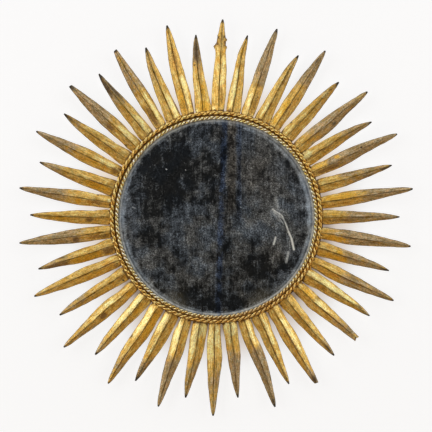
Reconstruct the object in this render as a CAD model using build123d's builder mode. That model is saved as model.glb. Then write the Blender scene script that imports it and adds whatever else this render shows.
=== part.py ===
from build123d import *
from math import cos, radians, sin, sqrt, tan
import os

# Sunburst wall mirror, in millimetres.
# +Z is up, the front faces -Y, and the wall is the plane Y = 0.
# The origin is the centre of the mirror on the wall plane.
# "Depth" below is the distance from the wall, so Y = -depth.
# "Radius" is the distance from the mirror's axis, which is the Y axis.
# Angles of the rays run clockwise from 12 o'clock as seen from the front.

os.makedirs("parts", exist_ok=True)

# ---------------------------------------------------------------- dimensions
UNIT = 1.75                 # millimetres in one unit of the ray table below

# convex glass
glass_crown_radius = 800.0  # radius of the front sphere
glass_thickness = 3.0
glass_edge_radius = 176.4   # half of the glass diameter
glass_seat_radius = 172.2   # where the lip of the collar meets the glass
glass_seat_depth = 20.9     # depth of the glass front at that radius

# collar: rolled L-section, wall round the glass and lip in front of it
collar_inner = 177.2
collar_outer = 178.6
collar_rear = 1.2
collar_front = 22.2
lip_inner = 172.2
lip_rear = 21.0

# twisted wire rings, as plain rings of their outer size
trim_centre_radius = 174.55
trim_wire_radius = 3.45     # half of the 6.9 mm twisted trim
trim_centre_depth = 25.7
rope_centre_radius = 183.4
rope_wire_radius = 4.05     # half of the 8.1 mm rope
rope_centre_depth = 25.02

# hoop: rolled angle, flange under the ray ends and web down to the wall
hoop_inner = 178.9
hoop_web_outer = 181.3
hoop_outer = 186.5
hoop_flange_rear = 12.0
hoop_flange_front = 14.5

# packing ring, backboard
packing_inner = 166.0
packing_outer = 176.2
packing_rear = 13.4
packing_front = 16.75
board_radius = 176.2
board_rear = 8.4
board_front = 13.4

# clips that hold the backboard, and the rivets through clip, collar and hoop
clip_count = 8
clip_first_angle = 22.5
clip_width = 12.0
clip_sheet = 1.0
clip_foot_inner = 164.0
clip_leg_outer = 177.0
clip_leg_rear = 1.2
clip_bend = 1.6
rivet_depth = 4.6
rivet_radius = 1.4
rivet_hole_radius = 1.5
rivet_head_radius = 2.15
rivet_head_height = 1.2

# hanger: strap with a rolled eye, D-shaped ring, two rivets with washers
eye_height = 118.0          # Z of the hinge axis
eye_depth = 5.1             # depth of the hinge axis
eye_bore_radius = 1.6
eye_outer_radius = 3.2
eye_width = 15.0
strap_sheet = 1.4
strap_width = 15.0
strap_length = 34.0         # below the hinge axis
hanger_rivet_drops = (13.0, 25.0)
hanger_rivet_radius = 1.8
hanger_hole_radius = 1.9
hanger_head_radius = 3.2
hanger_head_height = 1.4
washer_radius = 5.0
washer_thickness = 1.0
loop_wire_radius = 1.5
loop_half_width = 15.0      # half of the loop's width, between wire centres
loop_shoulder = 6.0         # bend radius of the two corners at the bar
loop_drop = 48.0            # from the bar down to the far side of the loop

# rays: sheet folded along the middle, ridge to the front
ray_sheet = 1.2
ray_ridge_depth = 20.92
ray_tail_radius = 179.7     # where the inner end stops, just outside the collar
fold_long = 25.5            # tilt of each half, in degrees
fold_short = 21.3

# outline of a long ray: distance from the mirror's axis, full width, in units
LONG_SHAPE = [(102.0, 11.2), (107.0, 12.0), (112.0, 12.8), (120.0, 13.6), (128.0, 14.4),
              (133.0, 14.6), (140.0, 14.3), (150.0, 13.5), (158.0, 12.1), (166.0, 10.7),
              (174.0, 9.0), (182.0, 7.2), (190.0, 5.3), (194.0, 3.9), (196.5, 2.5), (198.3, 1.0)]
LONG_TIP = 198.3
# outline of a short ray
SHORT_SHAPE = [(102.0, 14.5), (107.0, 15.0), (112.0, 15.2), (120.0, 14.8), (128.0, 14.3),
               (134.0, 13.9), (140.0, 12.9), (146.0, 11.9), (152.0, 10.6), (158.0, 9.2),
               (164.0, 8.0), (170.0, 6.6), (176.0, 4.5), (180.0, 2.8), (182.8, 1.0)]
SHORT_TIP = 182.8

# one line per ray, clockwise from 12 o'clock:
# angle of the base, angle of the tip, distance of the tip from the axis (units),
# and how much of a broken tip is missing (units)
RAYS = [
    (1.13, 1.7, 198.0, 0.0), (8.55, 9.5, 184.7, 0.0), (16.75, 17.7, 198.0, 0.0),
    (24.81, 26.7, 181.5, 0.0), (32.77, 33.1, 198.9, 0.0), (40.75, 42.1, 182.2, 0.0),
    (49.38, 50.2, 196.3, 0.0), (57.00, 58.3, 181.8, 0.0), (64.88, 65.1, 198.7, 0.0),
    (72.99, 73.4, 182.7, 0.0), (81.91, 81.6, 198.0, 0.0), (89.80, 89.8, 182.7, 0.0),
    (98.18, 98.5, 195.9, 0.0), (106.44, 107.2, 180.2, 0.0), (114.80, 115.2, 195.3, 0.0),
    (122.35, 122.7, 181.6, 0.0), (130.44, 130.9, 184.7, 11.3), (139.58, 139.6, 180.9, 0.0),
    (148.22, 148.9, 193.4, 3.8), (156.90, 156.5, 181.4, 0.0), (165.00, 162.8, 198.0, 0.0),
    (172.82, 173.2, 181.3, 0.0), (181.06, 181.0, 198.0, 0.0), (188.87, 189.8, 182.7, 0.0),
    (197.15, 197.2, 197.6, 0.0), (204.67, 206.5, 182.4, 0.0), (213.19, 213.3, 198.3, 0.0),
    (222.26, 221.5, 183.1, 0.0), (230.52, 229.7, 200.3, 0.0), (238.78, 238.1, 184.9, 0.0),
    (246.62, 246.7, 198.6, 0.0), (254.84, 253.9, 185.3, 0.0), (262.68, 262.6, 198.8, 0.0),
    (270.15, 270.8, 186.3, 0.0), (278.12, 278.5, 199.2, 0.0), (285.99, 287.4, 185.4, 0.0),
    (295.20, 295.6, 199.8, 0.0), (303.06, 304.1, 184.6, 0.0), (311.42, 311.9, 197.2, 2.4),
    (320.00, 320.6, 185.5, 0.0), (328.49, 328.7, 195.6, 3.3), (336.35, 337.3, 184.0, 0.0),
    (344.84, 345.4, 198.3, 0.0), (352.69, 353.5, 183.8, 0.0),
]


# ------------------------------------------------------------------ helpers
def half_width(shape, u):
    """Half of the ray's width at the distance u, along straight runs between the stations."""
    if u <= shape[0][0]:
        return shape[0][1] / 2
    for (u0, w0), (u1, w1) in zip(shape, shape[1:]):
        if u <= u1:
            return (w0 + (w1 - w0) * (u - u0) / (u1 - u0)) / 2
    return shape[-1][1] / 2


def radial_plane(angle, radius, depth):
    """Plane across a radius: its normal points outwards, its X axis is tangential (clockwise)
    and its Y axis points to the wall."""
    a = radians(angle)
    out = Vector(sin(a), 0, cos(a))
    side = Vector(cos(a), 0, -sin(a))
    return Plane(origin=out * radius + Vector(0, -depth, 0), x_dir=side, z_dir=out)


# section plane for everything that is turned about the mirror's axis:
# its X is the radius and its Y is the depth in front of the wall
SECTION = Plane(origin=(0, 0, 0), x_dir=(1, 0, 0), z_dir=(0, 0, -1))

# -------------------------------------------------------------------- glass
crown_apex = glass_seat_depth + glass_crown_radius - sqrt(glass_crown_radius**2 - glass_seat_radius**2)
rear_radius = glass_crown_radius - glass_thickness


def front_depth(radius):
    return crown_apex - glass_crown_radius + sqrt(glass_crown_radius**2 - radius**2)


def rear_depth(radius):
    return crown_apex - glass_crown_radius + sqrt(rear_radius**2 - radius**2)


with BuildPart() as mirror_glass:
    with BuildSketch(SECTION):
        with BuildLine():
            mid = glass_edge_radius / 2
            ThreePointArc((0, front_depth(0)), (mid, front_depth(mid)),
                          (glass_edge_radius, front_depth(glass_edge_radius)))
            Line((glass_edge_radius, front_depth(glass_edge_radius)),
                 (glass_edge_radius, rear_depth(glass_edge_radius)))
            ThreePointArc((glass_edge_radius, rear_depth(glass_edge_radius)),
                          (mid, rear_depth(mid)), (0, rear_depth(0)))
            Line((0, rear_depth(0)), (0, front_depth(0)))
        make_face()
    revolve(axis=Axis.Y, revolution_arc=360)
mirror_glass.part.label = "mirror_glass"
export_step(mirror_glass.part, "parts/mirror_glass.step")

# ------------------------------------------------------------- packing ring
with BuildPart() as glass_packing_ring:
    with BuildSketch(Plane.XZ.offset(packing_rear)):
        Circle(packing_outer)
        Circle(packing_inner, mode=Mode.SUBTRACT)
    extrude(amount=packing_front - packing_rear)
glass_packing_ring.part.label = "glass_packing_ring"
export_step(glass_packing_ring.part, "parts/glass_packing_ring.step")

# ---------------------------------------------------------------- backboard
# Plywood disc with the two through holes of the hanger rivets.
with BuildPart() as backboard:
    with BuildSketch(Plane.XZ.offset(board_rear)):
        Circle(board_radius)
        with Locations(*[(0, eye_height - d) for d in hanger_rivet_drops]):
            Circle(hanger_hole_radius, mode=Mode.SUBTRACT)
    extrude(amount=board_front - board_rear)
    chamfer(backboard.faces().sort_by(Axis.Y)[-1].outer_wire().edges(), 0.8)
backboard.part.label = "backboard"
export_step(backboard.part, "parts/backboard.step")

# ------------------------------------------------------------------- collar
clip_angles = [clip_first_angle + 360.0 / clip_count * k for k in range(clip_count)]

with BuildPart() as collar:
    with BuildSketch(SECTION):
        with BuildLine():
            Polyline((collar_inner, collar_rear), (collar_outer, collar_rear),
                     (collar_outer, collar_front), (lip_inner, collar_front),
                     (lip_inner, lip_rear), (collar_inner, lip_rear), close=True)
        make_face()
    revolve(axis=Axis.Y, revolution_arc=360)
    for angle in clip_angles:
        with BuildSketch(radial_plane(angle, collar_inner - 3.0, rivet_depth)):
            Circle(rivet_hole_radius)
        extrude(amount=6.0, mode=Mode.SUBTRACT)
collar.part.label = "collar"
export_step(collar.part, "parts/collar.step")

# --------------------------------------------------------------- angle hoop
with BuildPart() as angle_hoop:
    with BuildSketch(SECTION):
        with BuildLine():
            Polyline((hoop_inner, 0), (hoop_web_outer, 0), (hoop_web_outer, hoop_flange_rear),
                     (hoop_outer, hoop_flange_rear), (hoop_outer, hoop_flange_front),
                     (hoop_inner, hoop_flange_front), close=True)
        make_face()
    revolve(axis=Axis.Y, revolution_arc=360)
    for angle in clip_angles:
        with BuildSketch(radial_plane(angle, hoop_inner - 3.0, rivet_depth)):
            Circle(rivet_hole_radius)
        extrude(amount=7.5, mode=Mode.SUBTRACT)
angle_hoop.part.label = "angle_hoop"
export_step(angle_hoop.part, "parts/angle_hoop.step")

# -------------------------------------------------------- twisted wire rings
with BuildPart() as inner_twisted_trim:
    with BuildSketch(SECTION):
        with Locations((trim_centre_radius, trim_centre_depth)):
            Circle(trim_wire_radius)
    revolve(axis=Axis.Y, revolution_arc=360)
inner_twisted_trim.part.label = "inner_twisted_trim"
export_step(inner_twisted_trim.part, "parts/inner_twisted_trim.step")

with BuildPart() as outer_twisted_rope:
    with BuildSketch(SECTION):
        with Locations((rope_centre_radius, rope_centre_depth)):
            Circle(rope_wire_radius)
    revolve(axis=Axis.Y, revolution_arc=360)
outer_twisted_rope.part.label = "outer_twisted_rope"
export_step(outer_twisted_rope.part, "parts/outer_twisted_rope.step")

# --------------------------------------------------- clips and their rivets
# Each clip is a bent tab: its foot lies on the back of the board, its leg stands along the
# inside of the collar and takes the rivet.
with BuildPart() as backboard_clips:
    for angle in clip_angles:
        a = radians(angle)
        out = Vector(sin(a), 0, cos(a))
        side = Vector(cos(a), 0, -sin(a))
        # X of this plane is the radius, Y is the depth, and its normal is tangential
        with BuildSketch(Plane(origin=side * (-clip_width / 2), x_dir=out, z_dir=side)):
            with BuildLine():
                FilletPolyline((clip_foot_inner, board_rear), (clip_leg_outer, board_rear),
                               (clip_leg_outer, clip_leg_rear), radius=clip_bend)
                Line((clip_leg_outer, clip_leg_rear), (clip_leg_outer - clip_sheet, clip_leg_rear))
                FilletPolyline((clip_leg_outer - clip_sheet, clip_leg_rear),
                               (clip_leg_outer - clip_sheet, board_rear - clip_sheet),
                               (clip_foot_inner, board_rear - clip_sheet),
                               radius=clip_bend - clip_sheet)
                Line((clip_foot_inner, board_rear - clip_sheet), (clip_foot_inner, board_rear))
            make_face()
        extrude(amount=clip_width)
        with BuildSketch(radial_plane(angle, clip_leg_outer - clip_sheet - 2.0, rivet_depth)):
            Circle(rivet_hole_radius)
        extrude(amount=4.0, mode=Mode.SUBTRACT)
backboard_clips.part.label = "backboard_clips"
export_step(backboard_clips.part, "parts/backboard_clips.step")

rivet_inner = clip_leg_outer - clip_sheet       # under the inner head
rivet_outer = hoop_web_outer                    # under the outer head
with BuildPart() as rim_rivets:
    for angle in clip_angles:
        a = radians(angle)
        out = Vector(sin(a), 0, cos(a))
        side = Vector(cos(a), 0, -sin(a))
        with BuildSketch(Plane(origin=Vector(0, -rivet_depth, 0), x_dir=out,
                               z_dir=(0, -1, 0))):
            # half of the rivet's outline, turned about its own axis
            with BuildLine():
                Polyline((rivet_inner - rivet_head_height, 0), (rivet_outer + rivet_head_height, 0),
                         (rivet_outer + rivet_head_height, rivet_head_radius * 0.55),
                         (rivet_outer + 0.02, rivet_head_radius), (rivet_outer + 0.02, rivet_radius),
                         (rivet_inner - 0.02, rivet_radius), (rivet_inner - 0.02, rivet_head_radius),
                         (rivet_inner - rivet_head_height, rivet_head_radius * 0.55), close=True)
            make_face()
        revolve(axis=Axis(origin=Vector(0, -rivet_depth, 0), direction=out), revolution_arc=360)
rim_rivets.part.label = "rim_rivets"
export_step(rim_rivets.part, "parts/rim_rivets.step")

# ------------------------------------------------------------- hanger strap
# The strap lies flat on the backboard below its rolled eye.
strap_front = board_rear
strap_rear = board_rear - strap_sheet
with BuildPart() as hanger_strap:
    # flat part, from the eye downwards
    with BuildSketch(Plane.XZ.offset(strap_rear)):
        with Locations((0, eye_height)):
            Rectangle(strap_width, strap_length, align=(Align.CENTER, Align.MAX))
    extrude(amount=strap_sheet)
    fillet(hanger_strap.edges().filter_by(Axis.Y).group_by(Axis.Z)[0], 4.5)
    # rolled eye
    with BuildSketch(Plane.YZ.offset(-eye_width / 2)):
        with Locations((-eye_depth, eye_height)):
            Circle(eye_outer_radius)
    extrude(amount=eye_width)
    with BuildSketch(Plane.YZ.offset(-eye_width / 2 - 1)):
        with Locations((-eye_depth, eye_height)):
            Circle(eye_bore_radius)
    extrude(amount=eye_width + 2, mode=Mode.SUBTRACT)
    with BuildSketch(Plane.XZ.offset(strap_rear - 1)):
        with Locations(*[(0, eye_height - d) for d in hanger_rivet_drops]):
            Circle(hanger_hole_radius)
    extrude(amount=strap_sheet + 2, mode=Mode.SUBTRACT)
hanger_strap.part.label = "hanger_strap"
export_step(hanger_strap.part, "parts/hanger_strap.step")

# ------------------------------------------------------------- hanging ring
# A closed loop of round wire: a straight bar through the eye, two legs that draw in a little,
# and a round end. It hangs down, flat over the strap.
loop_end_radius = loop_half_width - 2.5
with BuildPart() as hanging_ring:
    with BuildLine(Plane(origin=(0, -eye_depth, 0), x_dir=(1, 0, 0), z_dir=(0, -1, 0))) as loop_path:
        low = eye_height - loop_drop
        FilletPolyline((loop_half_width, eye_height), (loop_end_radius + 1.0, low),
                       (-loop_end_radius - 1.0, low), (-loop_half_width, eye_height), close=True,
                       radius=[loop_shoulder, loop_end_radius - 1.5, loop_end_radius - 1.5, loop_shoulder])
    loop_wire = loop_path.wire()
    with BuildSketch(Plane(origin=loop_wire @ 0, z_dir=loop_wire % 0)):
        Circle(loop_wire_radius)
    sweep(path=loop_wire)
hanging_ring.part.label = "hanging_ring"
export_step(hanging_ring.part, "parts/hanging_ring.step")

# ------------------------------------------------- hanger rivets and washers
with BuildPart() as hanger_rivets:
    for drop in hanger_rivet_drops:
        centre = Vector(0, 0, eye_height - drop)
        with BuildSketch(Plane(origin=centre, x_dir=(1, 0, 0), z_dir=(0, 0, -1))):
            with BuildLine():
                tail = board_front + washer_thickness
                Polyline((0, strap_rear - hanger_head_height),
                         (hanger_head_radius * 0.55, strap_rear - hanger_head_height),
                         (hanger_head_radius, strap_rear - 0.5),
                         (hanger_head_radius, strap_rear - 0.01), (hanger_rivet_radius, strap_rear - 0.01),
                         (hanger_rivet_radius, tail + 0.01), (hanger_head_radius * 0.8, tail + 0.01),
                         (hanger_head_radius * 0.45, tail + 1.2), (0, tail + 1.2), close=True)
            make_face()
        revolve(axis=Axis(origin=centre, direction=(0, 1, 0)), revolution_arc=360)
hanger_rivets.part.label = "hanger_rivets"
export_step(hanger_rivets.part, "parts/hanger_rivets.step")

with BuildPart() as hanger_washers:
    with BuildSketch(Plane.XZ.offset(board_front)):
        with Locations(*[(0, eye_height - d) for d in hanger_rivet_drops]):
            Circle(washer_radius)
            Circle(hanger_hole_radius, mode=Mode.SUBTRACT)
    extrude(amount=washer_thickness)
hanger_washers.part.label = "hanger_washers"
export_step(hanger_washers.part, "parts/hanger_washers.step")

# --------------------------------------------------------------------- rays
# Each ray is a strip of sheet folded along its middle: a roof-shaped section drawn out along
# the ray, cut to the leaf outline. The ray's own frame has its X axis along the ray, from the
# base towards the tip, and its origin on the wall plane under the point where the base
# outline starts.
for number, (base_angle, tip_angle, tip_reach, missing) in enumerate(RAYS, 1):
    long_ray = number % 2 == 1
    kind = "long" if long_ray else "short"
    shape = LONG_SHAPE if long_ray else SHORT_SHAPE
    full_tip = LONG_TIP if long_ray else SHORT_TIP
    slope = tan(radians(fold_long if long_ray else fold_short))
    upright = ray_sheet / cos(radians(fold_long if long_ray else fold_short))

    base = Vector(sin(radians(base_angle)), 0, cos(radians(base_angle))) * (107.0 * UNIT)
    tip = Vector(sin(radians(tip_angle)), 0, cos(radians(tip_angle))) * (tip_reach * UNIT)
    along = (tip - base).normalized()
    # position of the inner end: back from the base until the ray meets the collar
    tail = 107.0 * UNIT - ray_tail_radius
    length = (tip - base).length + tail
    start = base - along * tail
    across = Vector(along.Z, 0, -along.X)       # clockwise side of the ray

    # stations of the outline, stretched so that the unbroken tip is at full reach
    reach = tip_reach + missing
    stations = []
    for u, w in shape:
        share = min(1.0, max(0.0, (u - 125.0) / (full_tip - 125.0)))
        stations.append((u + (reach - full_tip) * share, w))
    run = (tip - base).length / UNIT
    scale = run / (tip_reach - 107.0)
    points = []
    for u, w in stations:
        x = (u - 107.0) * UNIT * scale + tail
        if 0.5 < x < length - 0.5:
            points.append((x, w * UNIT / 2))
    w0 = half_width(stations, ray_tail_radius / UNIT) * UNIT
    w1 = half_width(stations, tip_reach) * UNIT
    upper = [(0.0, w0)] + points + [(length, w1)]

    with BuildPart() as ray:
        # roof section at the inner end: X of the plane is across the ray, Y is the depth
        with BuildSketch(Plane(origin=start, x_dir=across * -1, z_dir=along)):
            with BuildLine():
                reach_out = 20.0
                Polyline((0, ray_ridge_depth), (reach_out, ray_ridge_depth - reach_out * slope),
                         (reach_out, ray_ridge_depth - upright - reach_out * slope),
                         (0, ray_ridge_depth - upright),
                         (-reach_out, ray_ridge_depth - upright - reach_out * slope),
                         (-reach_out, ray_ridge_depth - reach_out * slope), close=True)
            make_face()
        extrude(amount=length)
        # leaf outline, cut straight through from the front
        with BuildSketch(Plane(origin=start, x_dir=along, z_dir=(0, -1, 0))):
            with BuildLine():
                Polyline(*upper, *[(x, -w) for x, w in reversed(upper)], close=True)
            make_face()
        extrude(amount=40.0, mode=Mode.INTERSECT)
    name = f"ray_{number:02d}_{kind}"
    ray.part.label = name
    export_step(ray.part, f"parts/{name}.step")
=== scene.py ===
import math

import bpy
import numpy as np
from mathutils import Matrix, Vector


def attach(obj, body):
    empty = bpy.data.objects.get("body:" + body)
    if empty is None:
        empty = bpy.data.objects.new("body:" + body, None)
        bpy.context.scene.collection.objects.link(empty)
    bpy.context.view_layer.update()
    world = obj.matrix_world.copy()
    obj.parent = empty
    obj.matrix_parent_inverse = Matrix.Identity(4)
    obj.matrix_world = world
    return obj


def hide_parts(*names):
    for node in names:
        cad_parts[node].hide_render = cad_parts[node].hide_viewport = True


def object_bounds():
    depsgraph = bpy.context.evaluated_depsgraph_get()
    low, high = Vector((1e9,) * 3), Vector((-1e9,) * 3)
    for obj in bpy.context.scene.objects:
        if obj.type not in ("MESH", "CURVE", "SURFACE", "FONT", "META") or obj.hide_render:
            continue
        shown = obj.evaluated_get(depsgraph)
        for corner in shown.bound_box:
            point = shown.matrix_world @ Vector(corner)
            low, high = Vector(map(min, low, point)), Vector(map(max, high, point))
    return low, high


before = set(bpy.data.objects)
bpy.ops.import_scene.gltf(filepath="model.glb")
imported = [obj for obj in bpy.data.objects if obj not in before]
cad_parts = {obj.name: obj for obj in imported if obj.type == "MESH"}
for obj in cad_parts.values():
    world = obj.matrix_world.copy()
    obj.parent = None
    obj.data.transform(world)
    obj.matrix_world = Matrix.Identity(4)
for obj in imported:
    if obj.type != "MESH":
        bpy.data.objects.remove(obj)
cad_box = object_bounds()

# Everything is in metres: +Z up, the front faces -Y, the wall is Y = 0.
# "Depth" is the distance from the wall, so Y = -depth. Ray angles run clockwise from
# 12 o'clock as seen from the front, and the ray table is in units of 1.75 mm.
U = 0.00175
TAU = 2 * math.pi


# ----------------------------------------------------------------- small tools
def lin(r, g, b):
    """An 8-bit display colour as scene-linear values with alpha."""
    def one(c):
        c /= 255.0
        return c / 12.92 if c <= 0.04045 else ((c + 0.055) / 1.055) ** 2.4
    return (one(r), one(g), one(b), 1.0)


def hashed(i, j, k, seed):
    n = (i * 73856093) ^ (j * 19349663) ^ (k * 83492791) ^ (seed * 2654435761)
    n = n & 0xFFFFFFFF
    n = ((n ^ (n >> 15)) * 2246822519) & 0xFFFFFFFF
    n = ((n ^ (n >> 13)) * 3266489917) & 0xFFFFFFFF
    n = n ^ (n >> 16)
    return n.astype(np.float64) / 4294967296.0


def value_noise(p, seed=0):
    """Smooth noise from 0 to 1 at the points p (N, 3)."""
    p = np.asarray(p, float)
    i = np.floor(p).astype(np.int64)
    f = p - i
    f = f * f * (3 - 2 * f)
    out = np.zeros(len(p))
    for dx in (0, 1):
        for dy in (0, 1):
            for dz in (0, 1):
                w = (
                    (f[:, 0] if dx else 1 - f[:, 0])
                    * (f[:, 1] if dy else 1 - f[:, 1])
                    * (f[:, 2] if dz else 1 - f[:, 2])
                )
                out += w * hashed(i[:, 0] + dx, i[:, 1] + dy, i[:, 2] + dz, seed)
    return out


def fbm(p, seed=0, octaves=3, gain=0.5):
    total, amp, norm = 0.0, 1.0, 0.0
    p = np.asarray(p, float)
    for o in range(octaves):
        total = total + amp * value_noise(p * (2.03 ** o) + 17.3 * o, seed + 31 * o)
        norm += amp
        amp *= gain
    return total / norm


def smooth(a, b, x):
    t = np.clip((np.asarray(x, float) - a) / (b - a), 0, 1)
    return t * t * (3 - 2 * t)


def make_object(name, verts, faces, attributes=None, sharp=None):
    me = bpy.data.meshes.new(name)
    me.from_pydata([tuple(v) for v in verts], [], faces)
    me.polygons.foreach_set("use_smooth", [True] * len(me.polygons))
    for key, values in (attributes or {}).items():
        values = np.asarray(values, np.float32)
        if values.ndim == 2:
            at = me.attributes.new(key, "FLOAT_VECTOR", "POINT")
            at.data.foreach_set("vector", values.ravel())
        else:
            at = me.attributes.new(key, "FLOAT", "POINT")
            at.data.foreach_set("value", values)
    me.validate()
    me.update()
    if sharp is not None:
        me.set_sharp_from_angle(angle=math.radians(sharp))
    ob = bpy.data.objects.new(name, me)
    bpy.context.scene.collection.objects.link(ob)
    return ob


# --------------------------------------------------------------- node materials
class Nodes:
    """Short calls for building a node material."""

    def __init__(self, name):
        self.mat = bpy.data.materials.new(name)
        self.mat.use_nodes = True
        self.nt = self.mat.node_tree
        self.nt.nodes.clear()
        self.out = self.nt.nodes.new("ShaderNodeOutputMaterial")
        self.p = self.nt.nodes.new("ShaderNodeBsdfPrincipled")
        self.nt.links.new(self.p.outputs[0], self.out.inputs[0])

    def put(self, socket, value):
        if isinstance(value, bpy.types.NodeSocket):
            self.nt.links.new(value, socket)
        elif isinstance(value, (tuple, list)) and len(value) == 3 and socket.type == "RGBA":
            socket.default_value = (*value, 1.0)
        else:
            socket.default_value = value

    def attr(self, name, vector=False):
        n = self.nt.nodes.new("ShaderNodeAttribute")
        n.attribute_type = "GEOMETRY"
        n.attribute_name = name
        return n.outputs["Vector"] if vector else n.outputs["Fac"]

    def math(self, op, a, b=None, clamp=False):
        n = self.nt.nodes.new("ShaderNodeMath")
        n.operation = op
        n.use_clamp = clamp
        self.put(n.inputs[0], a)
        if b is not None:
            self.put(n.inputs[1], b)
        return n.outputs[0]

    def add(self, a, b): return self.math("ADD", a, b)
    def sub(self, a, b): return self.math("SUBTRACT", a, b)
    def mul(self, a, b): return self.math("MULTIPLY", a, b)

    def vmath(self, op, a, b=None, out=0):
        n = self.nt.nodes.new("ShaderNodeVectorMath")
        n.operation = op
        self.put(n.inputs[0], a)
        if b is not None:
            self.put(n.inputs[1], b)
        return n.outputs[out]

    def scaled(self, vec, sx, sy, sz):
        return self.vmath("MULTIPLY", vec, (sx, sy, sz))

    def noise(self, vec, scale, detail=3.0, rough=0.55, distort=0.0):
        n = self.nt.nodes.new("ShaderNodeTexNoise")
        self.put(n.inputs["Vector"], vec)
        n.inputs["Scale"].default_value = scale
        n.inputs["Detail"].default_value = detail
        n.inputs["Roughness"].default_value = rough
        n.inputs["Distortion"].default_value = distort
        return n.outputs["Fac"]

    def voronoi(self, vec, scale, feature="F1", randomness=1.0):
        n = self.nt.nodes.new("ShaderNodeTexVoronoi")
        n.feature = feature
        self.put(n.inputs["Vector"], vec)
        n.inputs["Scale"].default_value = scale
        n.inputs["Randomness"].default_value = randomness
        return n.outputs["Distance"]

    def step(self, x, a, b, lo=0.0, hi=1.0):
        """Smooth step of x from a to b, giving lo to hi."""
        n = self.nt.nodes.new("ShaderNodeMapRange")
        n.interpolation_type = "SMOOTHSTEP"
        flip = a > b
        if flip:
            a, b, lo, hi = b, a, hi, lo
        self.put(n.inputs["Value"], x)
        n.inputs["From Min"].default_value = a
        n.inputs["From Max"].default_value = b
        n.inputs["To Min"].default_value = lo
        n.inputs["To Max"].default_value = hi
        return n.outputs["Result"]

    def line(self, x, a, b, lo=0.0, hi=1.0):
        n = self.nt.nodes.new("ShaderNodeMapRange")
        self.put(n.inputs["Value"], x)
        n.inputs["From Min"].default_value = a
        n.inputs["From Max"].default_value = b
        n.inputs["To Min"].default_value = lo
        n.inputs["To Max"].default_value = hi
        return n.outputs["Result"]

    def mix(self, fac, a, b, blend="MIX"):
        n = self.nt.nodes.new("ShaderNodeMix")
        n.data_type = "RGBA"
        n.blend_type = blend
        n.clamp_factor = True
        self.put(n.inputs[0], fac)
        self.put(n.inputs[6], a)
        self.put(n.inputs[7], b)
        return n.outputs[2]

    def bump(self, height, strength, distance, normal=None):
        n = self.nt.nodes.new("ShaderNodeBump")
        n.inputs["Strength"].default_value = strength
        n.inputs["Distance"].default_value = distance
        self.put(n.inputs["Height"], height)
        if normal is not None:
            self.put(n.inputs["Normal"], normal)
        return n.outputs[0]

    def xyz(self, vec):
        n = self.nt.nodes.new("ShaderNodeSeparateXYZ")
        self.put(n.inputs[0], vec)
        return n.outputs[0], n.outputs[1], n.outputs[2]

    def object_coords(self):
        n = self.nt.nodes.new("ShaderNodeTexCoord")
        return n.outputs["Object"]

    def finish(self, colour, rough, metallic, normal=None, **fixed):
        self.put(self.p.inputs["Base Color"], colour)
        self.put(self.p.inputs["Roughness"], rough)
        self.put(self.p.inputs["Metallic"], metallic)
        if normal is not None:
            self.put(self.p.inputs["Normal"], normal)
        for key, value in fixed.items():
            self.p.inputs[key.replace("_", " ")].default_value = value
        return self.mat


GOLD = (0.86, 0.605, 0.205, 1)
GOLD_DEEP = (0.66, 0.400, 0.090, 1)
GOLD_PALE = (0.94, 0.755, 0.385, 1)
TAUPE = (0.605, 0.478, 0.312, 1)
OLIVE = (0.285, 0.205, 0.088, 1)
BROWN = (0.095, 0.044, 0.014, 1)
BOLE = (0.40, 0.140, 0.040, 1)
SOOT = (0.024, 0.020, 0.016, 1)
CHARCOAL = (0.125, 0.094, 0.060, 1)


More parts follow.
